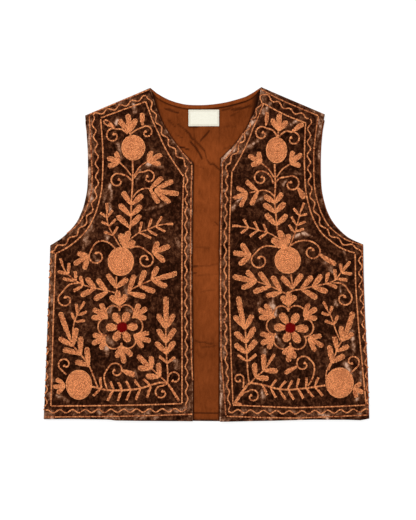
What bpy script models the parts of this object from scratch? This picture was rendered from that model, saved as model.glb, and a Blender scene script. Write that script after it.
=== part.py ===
"""An embroidered velvet waistcoat, laid flat on its back with its two fronts upwards.

X runs across the garment, Y from the hem to the shoulders, and Z up from the surface that it lies on.
Right and left are the wearer's, so the right front lies at negative X. The origin is on the surface, under the
middle of the garment. The layers from the surface up are the velvet back, its lining, the neck binding and the
label on that lining, and the two fronts, which are sewn to the back at the side seams and the shoulders.
"""

import math
from collections import namedtuple

import bmesh
import bpy
from mathutils import Vector

MM = 0.001

# Driving dimensions, in millimetres
BACK_THICKNESS = 1.6
LINING_THICKNESS = 1.0
FRONT_THICKNESS = 2.2
BINDING_THICKNESS = 1.0
LABEL_THICKNESS = 1.0
SEAM_GAP = 0.3
EDGE_ROUNDING = 0.4
BINDING_WIDTH = 6.0
BINDING_END_WIDTH = 1.6
BINDING_END_GAP = 3.0
LABEL_WIDTH = 49.0
LABEL_HEIGHT = 26.5
LABEL_CENTRE_X = -4.3
LABEL_CENTRE_Y = 217.8

# How far each layer stops inside the edge of the velvet back
LINING_SIDE_INSET = 8.5
LINING_SHOULDER_INSET = 9.5
LINING_HEM_INSET = 2.4
LINING_EDGE_INSET = 0.5
LEFT_FRONT_ARMHOLE_INSET = 2.2
SEAM_ROLL = 7.0  # the strip over which a front rolls down to the back at a sewn edge
ARMHOLE_ENDS = 0.1  # share of an armhole over which the insets change from the sewn ends
HEM_SAG = 2.4  # how far the hem of the back dips between its side seams

# Heights of the layers
LINING_BOTTOM = BACK_THICKNESS + SEAM_GAP
LINING_TOP = LINING_BOTTOM + LINING_THICKNESS
FRONT_BOTTOM = LINING_TOP + SEAM_GAP
SEAM_DROP = FRONT_BOTTOM - LINING_BOTTOM

# The outline as laid, in stretches from the hem up: each is a smooth curve through its knots
Knot = namedtuple("Knot", "x y")
Half = namedtuple("Half", "side lower_armhole upper_armhole front_edge upper_front_edge neckline")

RIGHT_HALF = Half(
    side=[Knot(-260.5, -264), Knot(-258.4, -218), Knot(-255, -130), Knot(-252, -50), Knot(-250, 14)],
    lower_armhole=[
        Knot(-250, 14),
        Knot(-231.5, 25.5),
        Knot(-217.5, 38.5),
        Knot(-207.5, 51),
        Knot(-201, 64),
        Knot(-196, 78),
        Knot(-191.2, 102),
        Knot(-189.6, 128),
    ],
    upper_armhole=[Knot(-189.6, 128), Knot(-190, 162), Knot(-192, 194), Knot(-194.2, 221.6)],
    front_edge=[Knot(-20.8, -267), Knot(-21, -170), Knot(-22, -60), Knot(-22, 22)],
    upper_front_edge=[Knot(-22, 22), Knot(-21.7, 85), Knot(-21, 145)],
    neckline=[
        Knot(-21, 145),
        Knot(-42.5, 168.2),
        Knot(-59.5, 191),
        Knot(-73, 215.4),
        Knot(-82.2, 240),
        Knot(-89.4, 265.8),
    ],
)
LEFT_HALF = Half(
    side=[Knot(260.5, -264.5), Knot(258.4, -192), Knot(255, -125), Knot(252, -52), Knot(250.4, 13.5)],
    lower_armhole=[
        Knot(250.4, 13.5),
        Knot(228.5, 25.8),
        Knot(213.6, 38.4),
        Knot(202.6, 51.4),
        Knot(195.6, 64),
        Knot(190.4, 78),
        Knot(185, 102),
        Knot(183.4, 128),
    ],
    upper_armhole=[Knot(183.4, 128), Knot(183.6, 162), Knot(186.2, 199), Knot(189.4, 223.4)],
    front_edge=[Knot(19.6, -267), Knot(20, -160), Knot(20, -60), Knot(20, 22)],
    upper_front_edge=[Knot(20, 22), Knot(21, 95), Knot(22, 153)],
    neckline=[
        Knot(22, 153),
        Knot(37, 166.4),
        Knot(50.5, 181.5),
        Knot(65, 202.5),
        Knot(78.4, 230),
        Knot(84.2, 248.5),
        Knot(87, 267),
    ],
)
BACK_NECK = [
    Knot(-89.4, 265.8),
    Knot(-77, 256),
    Knot(-60, 247),
    Knot(-43, 241.6),
    Knot(-26.7, 239),
    Knot(0, 239),
    Knot(26.2, 242.2),
    Knot(46, 247),
    Knot(66, 253.6),
    Knot(87, 267),
]

# Soft ridges in the cloth: a straight crest with tapered ends, how far it reaches sideways, and its height
Ridge = namedtuple("Ridge", "start_x start_y end_x end_y reach height")
LINING_RIDGES = [
    Ridge(-33, 198, -8, 158, 6, 1.1),
    Ridge(-2, 196, -18, 180, 6, 0.9),
    Ridge(4, 168, 9, 140, 6, 0.8),
    Ridge(28, 205, 14, 172, 6, 1.0),
    Ridge(-12, -8, 10, -11, 6, 0.8),
    Ridge(-10, -44, 8, -38, 6, 0.6),
    Ridge(-12, -132, 10, -124, 7, 0.7),
    Ridge(36, 222, 58, 228, 6, 0.9),
    Ridge(-64, 228, -44, 212, 6, 0.9),
]
RIGHT_FRONT_RIDGES = [
    Ridge(-175, 66, -212, 4, 20, 1.8),
    Ridge(-150, 206, -132, 170, 20, 1.3),
    Ridge(-70, 120, -100, 60, 22, 1.5),
    Ridge(-236, -70, -222, -160, 18, 1.6),
    Ridge(-120, -40, -66, -84, 22, 1.2),
    Ridge(-190, -226, -110, -246, 20, 1.4),
]
LEFT_FRONT_RIDGES = [
    Ridge(76, 190, 52, 140, 20, 1.7),
    Ridge(158, 40, 212, -6, 20, 1.7),
    Ridge(118, 206, 140, 172, 18, 1.2),
    Ridge(236, -66, 226, -168, 18, 1.4),
    Ridge(64, -36, 120, -72, 22, 1.3),
    Ridge(110, -246, 196, -228, 20, 1.5),
]
FRONT_EDGE_LIFT = 1.2  # how far a free front edge stands off the lining where it lifts most
FRONT_EDGE_REACH = 26.0
FRONT_EDGE_WAVE = 170.0

# Spacing of the points that the pieces are built on
ROW_STEP = 13.0
FRONT_COLUMN_STEP = 14.5
HIDDEN_COLUMN_STEP = 26.0
BACK_NECK_COLUMN_STEP = 14.0
LINING_NECK_COLUMN_STEP = 7.5
NEAR_SEAM = (2.5, 6.0, 10.0)
NEAR_FREE_EDGE = (3.0,)
BINDING_STEP = 8.0
LABEL_STEP = 6.0
CURVE_SAMPLES = 14

# Colours of the bare solids
Finish = namedtuple("Finish", "name colour roughness")
VELVET = Finish("velvet", (0.075, 0.035, 0.020), 0.85)
LINING_COTTON = Finish("lining_cotton", (0.220, 0.050, 0.012), 0.80)
LABEL_WEAVE = Finish("label_weave", (0.780, 0.760, 0.680), 0.60)


def smooth_step(value):
    """0 up to 0, 1 from 1, and a soft rise between."""
    t = min(1.0, max(0.0, value))
    return t * t * (3 - 2 * t)


def smooth_path(knots):
    """A dense line of points on the Catmull-Rom curve through the knots."""
    points = [Vector((k.x, k.y)) for k in knots]
    run = [2 * points[0] - points[1], *points, 2 * points[-1] - points[-2]]
    path = []
    for a, b, c, d in zip(run, run[1:], run[2:], run[3:]):
        for i in range(CURVE_SAMPLES):
            t = i / CURVE_SAMPLES
            square = (2 * a - 5 * b + 4 * c - d) * t**2
            cube = (3 * b - a - 3 * c + d) * t**3
            path.append(0.5 * (2 * b + (c - a) * t + square + cube))
    return [*path, points[-1]]


def path_length(path):
    return sum((b - a).length for a, b in zip(path, path[1:]))


def point_along(path, share):
    """The point at a share of the path's length."""
    left = share * path_length(path)
    for a, b in zip(path, path[1:]):
        step = (b - a).length
        if step >= left > 0:
            return a.lerp(b, left / step)
        if left <= 0:
            return a.copy()
        left -= step
    return path[-1].copy()


def places(length, step, near_start=(), near_end=()):
    """Distances from 0 to a length, about one step apart, with extra ones close to its ends."""
    start, end = max(near_start, default=0.0), length - max(near_end, default=0.0)
    count = max(1, round((end - start) / step))
    even = [start + (end - start) * i / count for i in range(count + 1)]
    ends = [d for d in near_start if d < start] + [length - d for d in near_end if length - d > end]
    return sorted({0.0, float(length), *even, *ends})


def ridge_height(x, y, ridges):
    """How far the soft ridges lift the cloth at a point."""
    height = 0.0
    for r in ridges:
        start, point = Vector((r.start_x, r.start_y)), Vector((x, y))
        run = Vector((r.end_x, r.end_y)) - start
        along = min(1.0, max(0.0, (point - start).dot(run) / run.length_squared))
        away = (point - start - run * along).length
        height = max(height, r.height * (1 - smooth_step(away / (2 * r.reach))))
    return height


def row_shares(half, near_top=()):
    """Where the rows of a panel cross its side, lower armhole and upper armhole, as shares of each."""
    side, lower, upper = (path_length(smooth_path(k)) for k in (half.side, half.lower_armhole, half.upper_armhole))
    return (
        [d / side for d in places(side, ROW_STEP, near_start=NEAR_FREE_EDGE)],
        [d / lower for d in places(lower, ROW_STEP)[1:]],
        [d / upper for d in places(upper, ROW_STEP, near_end=near_top)[1:]],
    )


def outer_edge(half, shares, side_inset=0.0, armhole_inset=0.0):
    """A point for each row up the side seam and round the armhole, moved inwards by the insets."""
    inward = 1 if half.side[0].x < 0 else -1
    side, lower, upper = (smooth_path(k) for k in (half.side, half.lower_armhole, half.upper_armhole))
    lower_length, upper_length = path_length(lower), path_length(upper)
    points = [point_along(side, share) + Vector((inward * side_inset, 0)) for share in shares[0]]
    for path, before, length, stretch in (
        (lower, 0.0, lower_length, shares[1]),
        (upper, lower_length, upper_length, shares[2]),
    ):
        for share in stretch:
            along = (before + share * length) / (lower_length + upper_length)
            open_share = smooth_step(along / ARMHOLE_ENDS) * smooth_step((1 - along) / ARMHOLE_ENDS)
            sewn_inset = side_inset * (1 - smooth_step(along / ARMHOLE_ENDS))
            inset = armhole_inset * open_share + sewn_inset
            points.append(point_along(path, share) + Vector((inward * inset, 0)))
    return points


def free_edge(half, shares):
    """A point for each row up a front's free edge and its neckline."""
    stretches = (half.front_edge, half.upper_front_edge, half.neckline)
    return [point_along(smooth_path(knots), share) for knots, stretch in zip(stretches, shares) for share in stretch]


def principled(finish):
    material = bpy.data.materials.get(finish.name)
    if material is None:
        material = bpy.data.materials.new(finish.name)
        material.use_nodes = True
        shader = material.node_tree.nodes["Principled BSDF"]
        shader.inputs["Base Color"].default_value = (*finish.colour, 1.0)
        shader.inputs["Roughness"].default_value = finish.roughness
    return material


def cloth_panel(name, rows, thickness, finish, collection):
    """A wall of cloth on rows of points, which are its underside: a moved grid, thickened upwards, with soft edges."""
    last_column, last_row = len(rows[0]) - 1, len(rows) - 1
    bm = bmesh.new()
    bmesh.ops.create_grid(bm, x_segments=last_column, y_segments=last_row, size=1.0)
    for v in bm.verts:
        column = round((v.co.x + 1) / 2 * last_column)
        row = round((v.co.y + 1) / 2 * last_row)
        v.co = rows[row][column] * MM
    bm.normal_update()
    if sum(f.normal.z for f in bm.faces) < 0:
        bmesh.ops.reverse_faces(bm, faces=bm.faces)
    mesh = bpy.data.meshes.new(name)
    bm.to_mesh(mesh)
    bm.free()
    mesh.materials.append(principled(finish))
    panel = bpy.data.objects.new(name, mesh)
    collection.objects.link(panel)

    wall = panel.modifiers.new("wall", "SOLIDIFY")
    wall.thickness = thickness * MM
    wall.offset = 1.0
    soft_edge = panel.modifiers.new("soft_edge", "BEVEL")
    soft_edge.width = EDGE_ROUNDING * MM
    soft_edge.segments = 1
    soft_edge.limit_method = "ANGLE"
    soft_edge.angle_limit = math.radians(50)
    return panel


def front_row(a, b, widest):
    """Shares of the way from the outer edge a to the free edge b, with the columns near an edge kept near it."""
    width = (b - a).length
    outer_band, free_band = max(NEAR_SEAM), max(NEAR_FREE_EDGE)
    room = (width - outer_band - free_band) / (widest - outer_band - free_band)
    row = []
    for d in places(widest, FRONT_COLUMN_STEP, NEAR_SEAM, NEAR_FREE_EDGE):
        if d <= outer_band:
            away = d
        elif widest - d <= free_band:
            away = width - (widest - d)
        else:
            away = outer_band + (d - outer_band) * room
        row.append(away / width)
    return row


def build_front(name, half, ridges, armhole_inset, collection):
    """A velvet front: it lies on the lining, waves softly, and rolls down to the back at its sewn edges."""
    shares = row_shares(half, NEAR_SEAM)
    outer = outer_edge(half, shares, armhole_inset=armhole_inset)
    inner = free_edge(half, shares)
    widest = max((b - a).length for a, b in zip(outer, inner))
    tip, neck_point = outer[-1], inner[-1]
    shoulder = (neck_point - tip).normalized()
    seam_top = outer[len(shares[0]) - 1]
    rows = []
    for i, (a, b) in enumerate(zip(outer, inner)):
        sewn = 1.0 if i < len(shares[0]) else 1 - smooth_step((a - seam_top).length / SEAM_ROLL)
        width = (b - a).length
        row = []
        for share in front_row(a, b, widest):
            p = a.lerp(b, share)
            side_roll = sewn * (1 - smooth_step(share * width / SEAM_ROLL))
            shoulder_roll = 1 - smooth_step(abs(shoulder.cross(p - tip)) / SEAM_ROLL)
            roll = max(side_roll, shoulder_roll)
            wave = 0.5 - 0.5 * math.cos(2 * math.pi * p.y / FRONT_EDGE_WAVE)
            near_edge = 1 - smooth_step((1 - share) * width / FRONT_EDGE_REACH)
            rise = max(ridge_height(p.x, p.y, ridges), FRONT_EDGE_LIFT * wave * near_edge)
            z = FRONT_BOTTOM - SEAM_DROP * roll + rise * (1 - roll)
            row.append(Vector((p.x, p.y, z)))
        rows.append(row)
    return cloth_panel(name, rows, FRONT_THICKNESS, VELVET, collection)


def line_height(a, b, x):
    return a.y + (b.y - a.y) * (x - a.x) / (b.x - a.x)


def top_outline(x, neck):
    """The height of the back's shoulders and neck edge at x."""
    if x < neck[0].x:
        return line_height(Vector(RIGHT_HALF.upper_armhole[-1]), neck[0], x)
    for a, b in zip(neck, neck[1:]):
        if x <= b.x:
            return line_height(a, b, x)
    return line_height(neck[-1], Vector(LEFT_HALF.upper_armhole[-1]), x)


def back_rows(neck_step, height, insets):
    """Rows across the whole back, from the wearer's right to the left, as high as height(x, y)."""
    shares = row_shares(RIGHT_HALF, NEAR_FREE_EDGE)
    right = outer_edge(RIGHT_HALF, shares, insets.side, insets.edge)
    left = outer_edge(LEFT_HALF, shares, insets.side, insets.edge)
    neck = smooth_path(BACK_NECK)
    tips = (right[-1].x, left[-1].x)
    columns = []
    for start, end, step in (
        (tips[0], neck[0].x, HIDDEN_COLUMN_STEP),
        (neck[0].x, neck[-1].x, neck_step),
        (neck[-1].x, tips[1], HIDDEN_COLUMN_STEP),
    ):
        columns += [start + d for d in places(end - start, step)]
    columns = sorted({round(x, 6) for x in columns})
    rising = len(shares[2])
    rows = []
    for i, (a, b) in enumerate(zip(right, left)):
        lift = max(0.0, (i + 1 + rising - len(right)) / rising)
        row = []
        for top_x in columns:
            share = (top_x - tips[0]) / (tips[1] - tips[0])
            p = a.lerp(b, share)
            into_neck = min(top_x - neck[0].x, neck[-1].x - top_x) / 8.0
            top_inset = insets.shoulder + (insets.edge - insets.shoulder) * smooth_step(into_neck)
            straight = right[-1].y + (left[-1].y - right[-1].y) * share
            p.y += lift * (top_outline(top_x, neck) - top_inset - straight)
            hem_share = max(0.0, 1 - i / len(shares[0]))
            p.y += hem_share * (insets.hem - HEM_SAG * (1 - (2 * share - 1) ** 2))
            row.append(Vector((p.x, p.y, height(p.x, p.y))))
        rows.append(row)
    return rows


Insets = namedtuple("Insets", "side edge hem shoulder")


def build_back(collection):
    rows = back_rows(BACK_NECK_COLUMN_STEP, lambda x, y: 0.0, Insets(side=0.0, edge=0.0, hem=0.0, shoulder=0.0))
    return cloth_panel("back", rows, BACK_THICKNESS, VELVET, collection)


def build_back_lining(collection):
    insets = Insets(
        side=LINING_SIDE_INSET, edge=LINING_EDGE_INSET, hem=LINING_HEM_INSET, shoulder=LINING_SHOULDER_INSET
    )
    rows = back_rows(LINING_NECK_COLUMN_STEP, lambda x, y: LINING_BOTTOM + ridge_height(x, y, LINING_RIDGES), insets)
    return cloth_panel("back_lining", rows, LINING_THICKNESS, LINING_COTTON, collection)


def build_neck_binding(collection):
    """The strip that binds the back neck: it follows the edge and narrows to its ends under the neck points."""
    path = smooth_path(BACK_NECK)
    length = path_length(path)
    rows = []
    for step in places(length - 2 * BINDING_END_GAP, BINDING_STEP):
        d = BINDING_END_GAP + step
        p = point_along(path, d / length)
        ahead = point_along(path, min(1.0, (d + 1.0) / length)) - point_along(path, max(0.0, (d - 1.0) / length))
        inward = Vector((ahead.y, -ahead.x)).normalized()
        middle = smooth_step(min(d, length - d) / 22.0)
        width = BINDING_END_WIDTH + (BINDING_WIDTH - BINDING_END_WIDTH) * middle
        row = []
        for share in (0.0, 0.5, 1.0):
            q = p + inward * (LINING_EDGE_INSET + width * (1 - share))
            row.append(Vector((q.x, q.y, FRONT_BOTTOM)))
        rows.append(row)
    return cloth_panel("neck_binding", rows, BINDING_THICKNESS, LINING_COTTON, collection)


def build_label(collection):
    """The woven label, which is slightly puckered where it is sewn on."""
    rows = []
    for y in places(LABEL_HEIGHT, LABEL_STEP):
        row = []
        for x in places(LABEL_WIDTH, LABEL_STEP):
            pucker = 0.25 * (1 + math.sin(x / 4.5 + y / 9.0))
            row.append(
                Vector(
                    (
                        LABEL_CENTRE_X - LABEL_WIDTH / 2 + x,
                        LABEL_CENTRE_Y - LABEL_HEIGHT / 2 + y,
                        FRONT_BOTTOM + pucker,
                    )
                )
            )
        rows.append(row)
    return cloth_panel("label", rows, LABEL_THICKNESS, LABEL_WEAVE, collection)


def main():
    for obj in list(bpy.data.objects):
        bpy.data.objects.remove(obj)
    bpy.context.scene.unit_settings.system = "METRIC"
    waistcoat = bpy.data.collections.new("waistcoat")
    bpy.context.scene.collection.children.link(waistcoat)
    build_back(waistcoat)
    build_back_lining(waistcoat)
    build_neck_binding(waistcoat)
    build_label(waistcoat)
    build_front("right_front", RIGHT_HALF, RIGHT_FRONT_RIDGES, 0.0, waistcoat)
    build_front("left_front", LEFT_HALF, LEFT_FRONT_RIDGES, LEFT_FRONT_ARMHOLE_INSET, waistcoat)


main()
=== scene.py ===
"""Looks for the embroidered waistcoat: crushed velvet, a cotton lining and chain-stitch embroidery.

Lengths in the tables are millimetres from the garment's middle, X towards the wearer's left and Y towards the
neck, as in the solids. Right and left are the wearer's.
"""

import math
from collections import namedtuple

import bpy
import numpy as np
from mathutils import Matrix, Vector, noise
from mathutils.bvhtree import BVHTree


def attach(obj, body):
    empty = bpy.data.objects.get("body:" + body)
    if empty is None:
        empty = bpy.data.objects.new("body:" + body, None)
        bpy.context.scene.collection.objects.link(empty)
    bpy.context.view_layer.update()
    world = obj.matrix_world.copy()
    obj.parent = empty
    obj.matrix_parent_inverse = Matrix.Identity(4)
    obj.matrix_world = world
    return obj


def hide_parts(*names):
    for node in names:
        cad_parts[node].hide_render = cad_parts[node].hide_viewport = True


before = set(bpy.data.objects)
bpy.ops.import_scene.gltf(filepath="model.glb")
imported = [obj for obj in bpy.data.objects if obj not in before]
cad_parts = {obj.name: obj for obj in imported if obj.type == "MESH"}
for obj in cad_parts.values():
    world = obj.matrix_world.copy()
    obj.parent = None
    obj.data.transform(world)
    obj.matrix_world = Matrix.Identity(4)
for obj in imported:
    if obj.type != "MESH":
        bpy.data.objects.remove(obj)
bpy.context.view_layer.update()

MM = 0.001

# Sizes and heights, as in the solids
BACK_THICKNESS = 1.6
LINING_THICKNESS = 1.0
FRONT_THICKNESS = 2.2
BINDING_THICKNESS = 1.0
LABEL_THICKNESS = 1.0
LINING_BOTTOM = 1.9
FRONT_BOTTOM = 3.2
SEAM_DROP = 1.3
BINDING_WIDTH = 6.0
BINDING_END_WIDTH = 1.6
BINDING_END_GAP = 3.0
LABEL_WIDTH = 49.0
LABEL_HEIGHT = 26.5
LABEL_CENTRE_X = -4.3
LABEL_CENTRE_Y = 217.8
LINING_EDGE_INSET = 0.5
LEFT_FRONT_ARMHOLE_INSET = 2.2

# How the cloth lies: its rolled seams, its hem, its neck edge, and the low waves along a front's free edge
SEAM_ROLL = 7.0
ARMHOLE_ENDS = 0.1  # the share of the armhole over which its inset opens and closes
HEM_SAG = 2.4
HEM_Y = -267.0
HEM_HANG_REACH = 18.0  # how far up the cloth the unevenness of the hem is felt
HEM_SEAM = 10.8  # how far the lining's hem stitching is from its edge
NECK_BLEND = 8.0
EDGE_ROUNDING = 0.45
EDGE_ANGLE = math.radians(50)
FRONT_EDGE_LIFT = 1.2
FRONT_EDGE_REACH = 26.0
FRONT_EDGE_WAVE = 170.0

# How far apart the points of the cloth are, and how far in from an edge its extra rows are
CLOTH_STEP = 2.7
BACK_STEP = 6.0
HIDDEN_STEP = 12.0
LINING_STEP = 1.5
LINING_ROW_STEP = 1.875
BESIDE_STEPS = 1.8  # how much wider the columns are beside the part of the lining that shows
VISIBLE_HALF_WIDTH = 40.0
NEAR_EDGE = (1.5, 3.5, 6.0, 9.0)
NEAR_LINING_HEM = (2, 5, 8, 9.6, 10.4, 11.2, 12, 13.6, 16)

# The camera looks straight down, as the garment was photographed
CAMERA_X = 2.4
CAMERA_Y = -9.6
CAMERA_HEIGHT = 2316.0
CAMERA_LENS = 100.0

# Chain stitches
LINK_PITCH = 2.4
LINK_OVERLAP = 1.22
LINK_HEIGHT = 1.0
ROW_GAP = 1.8

# Leaves, as shares of their width or length
LEAF_NARROW = 0.42
LEAF_FULL = 0.55
LEAF_TIP = 0.4
LEAF_TAPER = 0.14
LEAF_REACH = 0.52

# The flower and the ring of lobes round it
PETAL_START = 6.5
PETAL_WIDTH = 13.2
LOBE_DEPTH = 11.0
LOBE_ROUNDNESS = 0.62
FLOWER_CENTRE = 9.3

# The border of a front
BORDER_STEP = 1.5
WAVE_PERIOD = 20.5
RUN_ON = 30.0  # how far a line is first drawn past a corner, before it is cut where it meets the next
SIDE_SHADE = 0.3  # how much darker the outer line is at the side seam, where it half hides


def table(kind, *rows):
    """The rows of a table, each with the named columns of its kind."""
    return [kind(*row) for row in rows]


Knot = namedtuple("Knot", "x y")
Half = namedtuple("Half", "side lower_armhole upper_armhole front_edge upper_front_edge neckline")
RIGHT_HALF = Half(
    side=table(Knot, (-260.5, -264), (-258.4, -218), (-255, -130), (-252, -50), (-250, 14)),
    lower_armhole=table(
        Knot, (-250, 14), (-231.5, 25.5), (-217.5, 38.5), (-207.5, 51), (-201, 64), (-196, 78),
        (-191.2, 102), (-189.6, 128),
    ),
    upper_armhole=table(Knot, (-189.6, 128), (-190, 162), (-192, 194), (-194.2, 221.6)),
    front_edge=table(Knot, (-21.8, -267), (-22.2, -170), (-23.2, -60), (-23.2, 22)),
    upper_front_edge=table(Knot, (-23.2, 22), (-22.6, 85), (-21.4, 145)),
    neckline=table(
        Knot, (-21.4, 145), (-42.5, 168.2), (-59.5, 191), (-73, 215.4), (-82.2, 240), (-89.4, 265.8),
    ),
)
LEFT_HALF = Half(
    side=table(Knot, (260.5, -264.5), (258.4, -192), (255, -125), (252, -52), (250.8, 15.5)),
    lower_armhole=table(
        Knot, (250.8, 15.5), (228.5, 25.8), (213.6, 38.4), (202.6, 51.4), (195.6, 64), (190.4, 78),
        (185, 102), (183.4, 128),
    ),
    upper_armhole=table(Knot, (183.4, 128), (183.6, 162), (186.2, 199), (189.4, 223.4)),
    front_edge=table(Knot, (21.2, -267), (21.4, -160), (21.2, -60), (21.3, 22)),
    upper_front_edge=table(Knot, (21.3, 22), (22.6, 95), (23.4, 153)),
    neckline=table(
        Knot, (23.4, 153), (37.2, 166.4), (50.5, 181.5), (65, 202.5), (78.4, 230), (84.2, 248.5),
        (87, 267),
    ),
)
BACK_NECK = table(
    Knot, (-89.4, 265.8), (-77, 256), (-60, 247), (-43, 241.6), (-26.7, 239), (0, 239), (26.2, 242.2),
    (46, 247), (66, 253.6), (87, 267),
)

# Soft ridges (height above 0) and troughs (below 0): a straight crest, and its reach to each side
Ridge = namedtuple("Ridge", "start_x start_y end_x end_y reach height")
LINING_RIDGES = table(
    Ridge,
    (-33, 198, -8, 158, 6, 1.1), (-2, 196, -18, 180, 6, 0.9), (4, 168, 9, 140, 6, 0.8),
    (28, 205, 14, 172, 6, 1.0), (-12, -8, 10, -11, 6, 0.8), (-10, -44, 8, -38, 6, 0.6),
    (-12, -132, 10, -124, 7, 0.7), (36, 222, 58, 228, 6, 0.9), (-64, 228, -44, 212, 6, 0.9),
    (-25, 180, -17, 170, 1.4, -0.8), (-17, 170, -7, 153, 1.4, -0.8), (8, 143, 20, 133, 1.4, -0.8),
    (-45, 171, -29, 167, 1.4, -0.6),
)
# Narrow creases of the lining: how far each reaches to its sides, and how much painted shade it gets, or
# painted light below 0
Crease = namedtuple("Crease", "start_x start_y end_x end_y reach dark")
LINING_CREASES = table(
    Crease,
    (-24, 197, -10, 178, 6, -0.32), (-13, 172, -3, 154, 4, -0.28), (2, 160, 15, 145, 6, -0.3),
    (-40, 176, -27, 172, 4, -0.25), (-36, 188, -28, 176, 6, -0.22), (2, 200, 14, 188, 6, -0.22),
    (28, 222, 28, 190, 7, -0.2), (-70, 226, -48, 218, 5, -0.25), (40, 226, 66, 234, 5, -0.22),
    (-14, -12, 12, -10, 5, -0.2), (-12, -44, 12, -42, 6, -0.18), (-12, -134, 12, -136, 6, -0.2),
    (-46, 208, -33, 198, 1.8, 0.34), (-33, 198, -21, 184, 2.2, 0.62), (-25, 180, -17, 170, 2.4, 0.90),
    (-17, 170, -7, 153, 2.4, 0.85), (-21, 184, -10, 173, 1.8, 0.45), (-10, 173, -3, 165, 2.2, 0.62),
    (-3, 165, 0, 153, 1.8, 0.45), (1, 150, 8, 143, 2.2, 0.56), (9.5, 145, 21.5, 135, 2.4, 0.6),
    (-9, 182, 4, 196, 2.2, 0.62), (-17, 170, -21, 203, 1.8, 0.22), (-46, 171, -39, 171, 2.2, 0.95),
    (-39, 171, -28, 167, 2.1, 0.80), (21, 227, 21, 180, 1.8, 0.18), (25, 230, 38, 233, 1.8, 0.39),
    (41, 230.5, 71, 236.5, 2.4, 0.6), (22, 202, 47, 205, 1.8, 0.16), (38, 220, 54, 229, 1.8, 0.22),
    (-27, 203, -15, 203.5, 2.2, 0.56), (-65.5, 232.5, -44.5, 226.5, 2.2, 0.62),
    (-86, 255, -76, 249, 2.7, 0.67), (-62, 215, -50, 204, 2, 0.28), (-50, 192, -38, 186, 1.8, 0.28),
    (26, 168, 44, 174, 1.8, 0.22), (-16, 141, -4, 137, 1.8, 0.28), (-21, -20, -14, -20, 2.2, 0.67),
    (-14, -20, 20, -16, 1.8, 0.25), (-22, -31, -18, -31, 2.4, 0.67), (-18, -35, 18, -32, 1.8, 0.18),
    (13, 52, 20, 45, 1.8, 0.45), (-16, 12, 4, 9, 1.8, 0.16), (-8, -60, 14, -57, 1.8, 0.18),
    (-18, -139, 10, -144, 2, 0.34), (-6, -150, 16, -147, 2, 0.22), (-12, 100, -2, 84, 1.8, 0.18),
)
RIGHT_FRONT_RIDGES = table(
    Ridge,
    (-175, 66, -212, 4, 20, 1.8), (-150, 206, -132, 170, 20, 1.3), (-70, 120, -100, 60, 22, 1.5),
    (-236, -70, -222, -160, 18, 1.6), (-120, -40, -66, -84, 22, 1.2), (-190, -226, -110, -246, 20, 1.4),
)
LEFT_FRONT_RIDGES = table(
    Ridge,
    (76, 190, 52, 140, 20, 1.7), (158, 40, 212, -6, 20, 1.7), (118, 206, 140, 172, 18, 1.2),
    (236, -66, 226, -168, 18, 1.4), (64, -36, 120, -72, 22, 1.3), (110, -246, 196, -228, 20, 1.5),
)

# Where the pile of the velvet is brushed the other way and looks pale, partly painted sheen: a stroke, its
# width and its paleness
Stroke = namedtuple("Stroke", "start_x start_y end_x end_y width paleness")
RIGHT_STROKES = table(
    Stroke,
    (-187, 218, -187, 158, 4, 0.4), (-188, 158, -186, 90, 4, 0.65), (-186, 86, -206, 35, 3.5, 0.35),
    (-143, 217, -145, 208, 4, 0.55), (-116, 246, -116, 227, 5, 0.4), (-94, 144, -84, 139, 3, 0.75),
    (-84, 139, -70, 140, 3, 0.6), (-103, 136, -113, 125, 3, 0.35), (-140, 179, -137, 154, 5, 0.25),
    (-154, 109, -154, 67, 4, 0.6), (-161, 102, -164, 78, 3, 0.3), (-106, 122, -114, 112, 3, 0.4),
    (-97, 70, -62, 83, 2.5, 0.35), (-159, 37, -159, 22, 3, 0.6), (-182, 54, -196, 13, 6, 0.35),
    (-46, 26, -44, 3, 4, 0.12), (-180, -3, -172, -13, 4, 0.4), (-164, -146, -159, -162, 5, 0.6),
    (-113, -189, -105, -198, 4, 0.45), (-52, -170, -46, -182, 5, 0.45), (-238, -227, -222, -233, 4, 0.3),
    (-151, -83, -158, -94, 4, 0.45), (-126, -88, -116, -93, 4, 0.35), (-159, -131, -151, -146, 4, 0.35),
    (-134, -42, -127, -70, 5, 0.35), (-246, -6, -250, -234, 4, 0.3),
)
LEFT_STROKES = table(
    Stroke,
    (20, 150, 41, 166, 6, 0.8), (44, 170, 79, 218, 4, 0.5), (54, 162, 92, 190, 6.5, 0.4),
    (89, 227, 102, 240, 6, 0.45), (130, 206, 143, 214, 4, 0.55), (182, 218, 184, 150, 4, 0.45),
    (184, 150, 186, 96, 3, 0.3), (194, 67, 233, 22, 3.5, 0.35), (135, 26, 150, 34, 4, 0.65),
    (150, 34, 167, 27, 4, 0.6), (41, 75, 54, 90, 4, 0.65), (78, 80, 89, 94, 4, 0.4),
    (119, 102, 127, 118, 3, 0.3), (137, 131, 150, 126, 4, 0.3), (193, -16, 207, -35, 5, 0.35),
    (220, 6, 222, -10, 4, 0.45), (215, -50, 217, -62, 4, 0.5), (207, -74, 209, -83, 4, 0.5),
    (104, -82, 111, -102, 5, 0.6), (111, -133, 121, -147, 4, 0.45), (233, -126, 234, -160, 5, 0.6),
    (223, -176, 230, -189, 5, 0.6), (246, -189, 246, -205, 4, 0.4), (244, -214, 242, -234, 4, 0.6),
    (92, -152, 89, -166, 4, 0.35), (89, -218, 95, -232, 4, 0.55), (110, -58, 105, -80, 3, 0.4),
    (84, -67, 84, -93, 4, 0.25), (22, -196, 22.5, -262, 3.2, 0.6),
)

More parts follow.
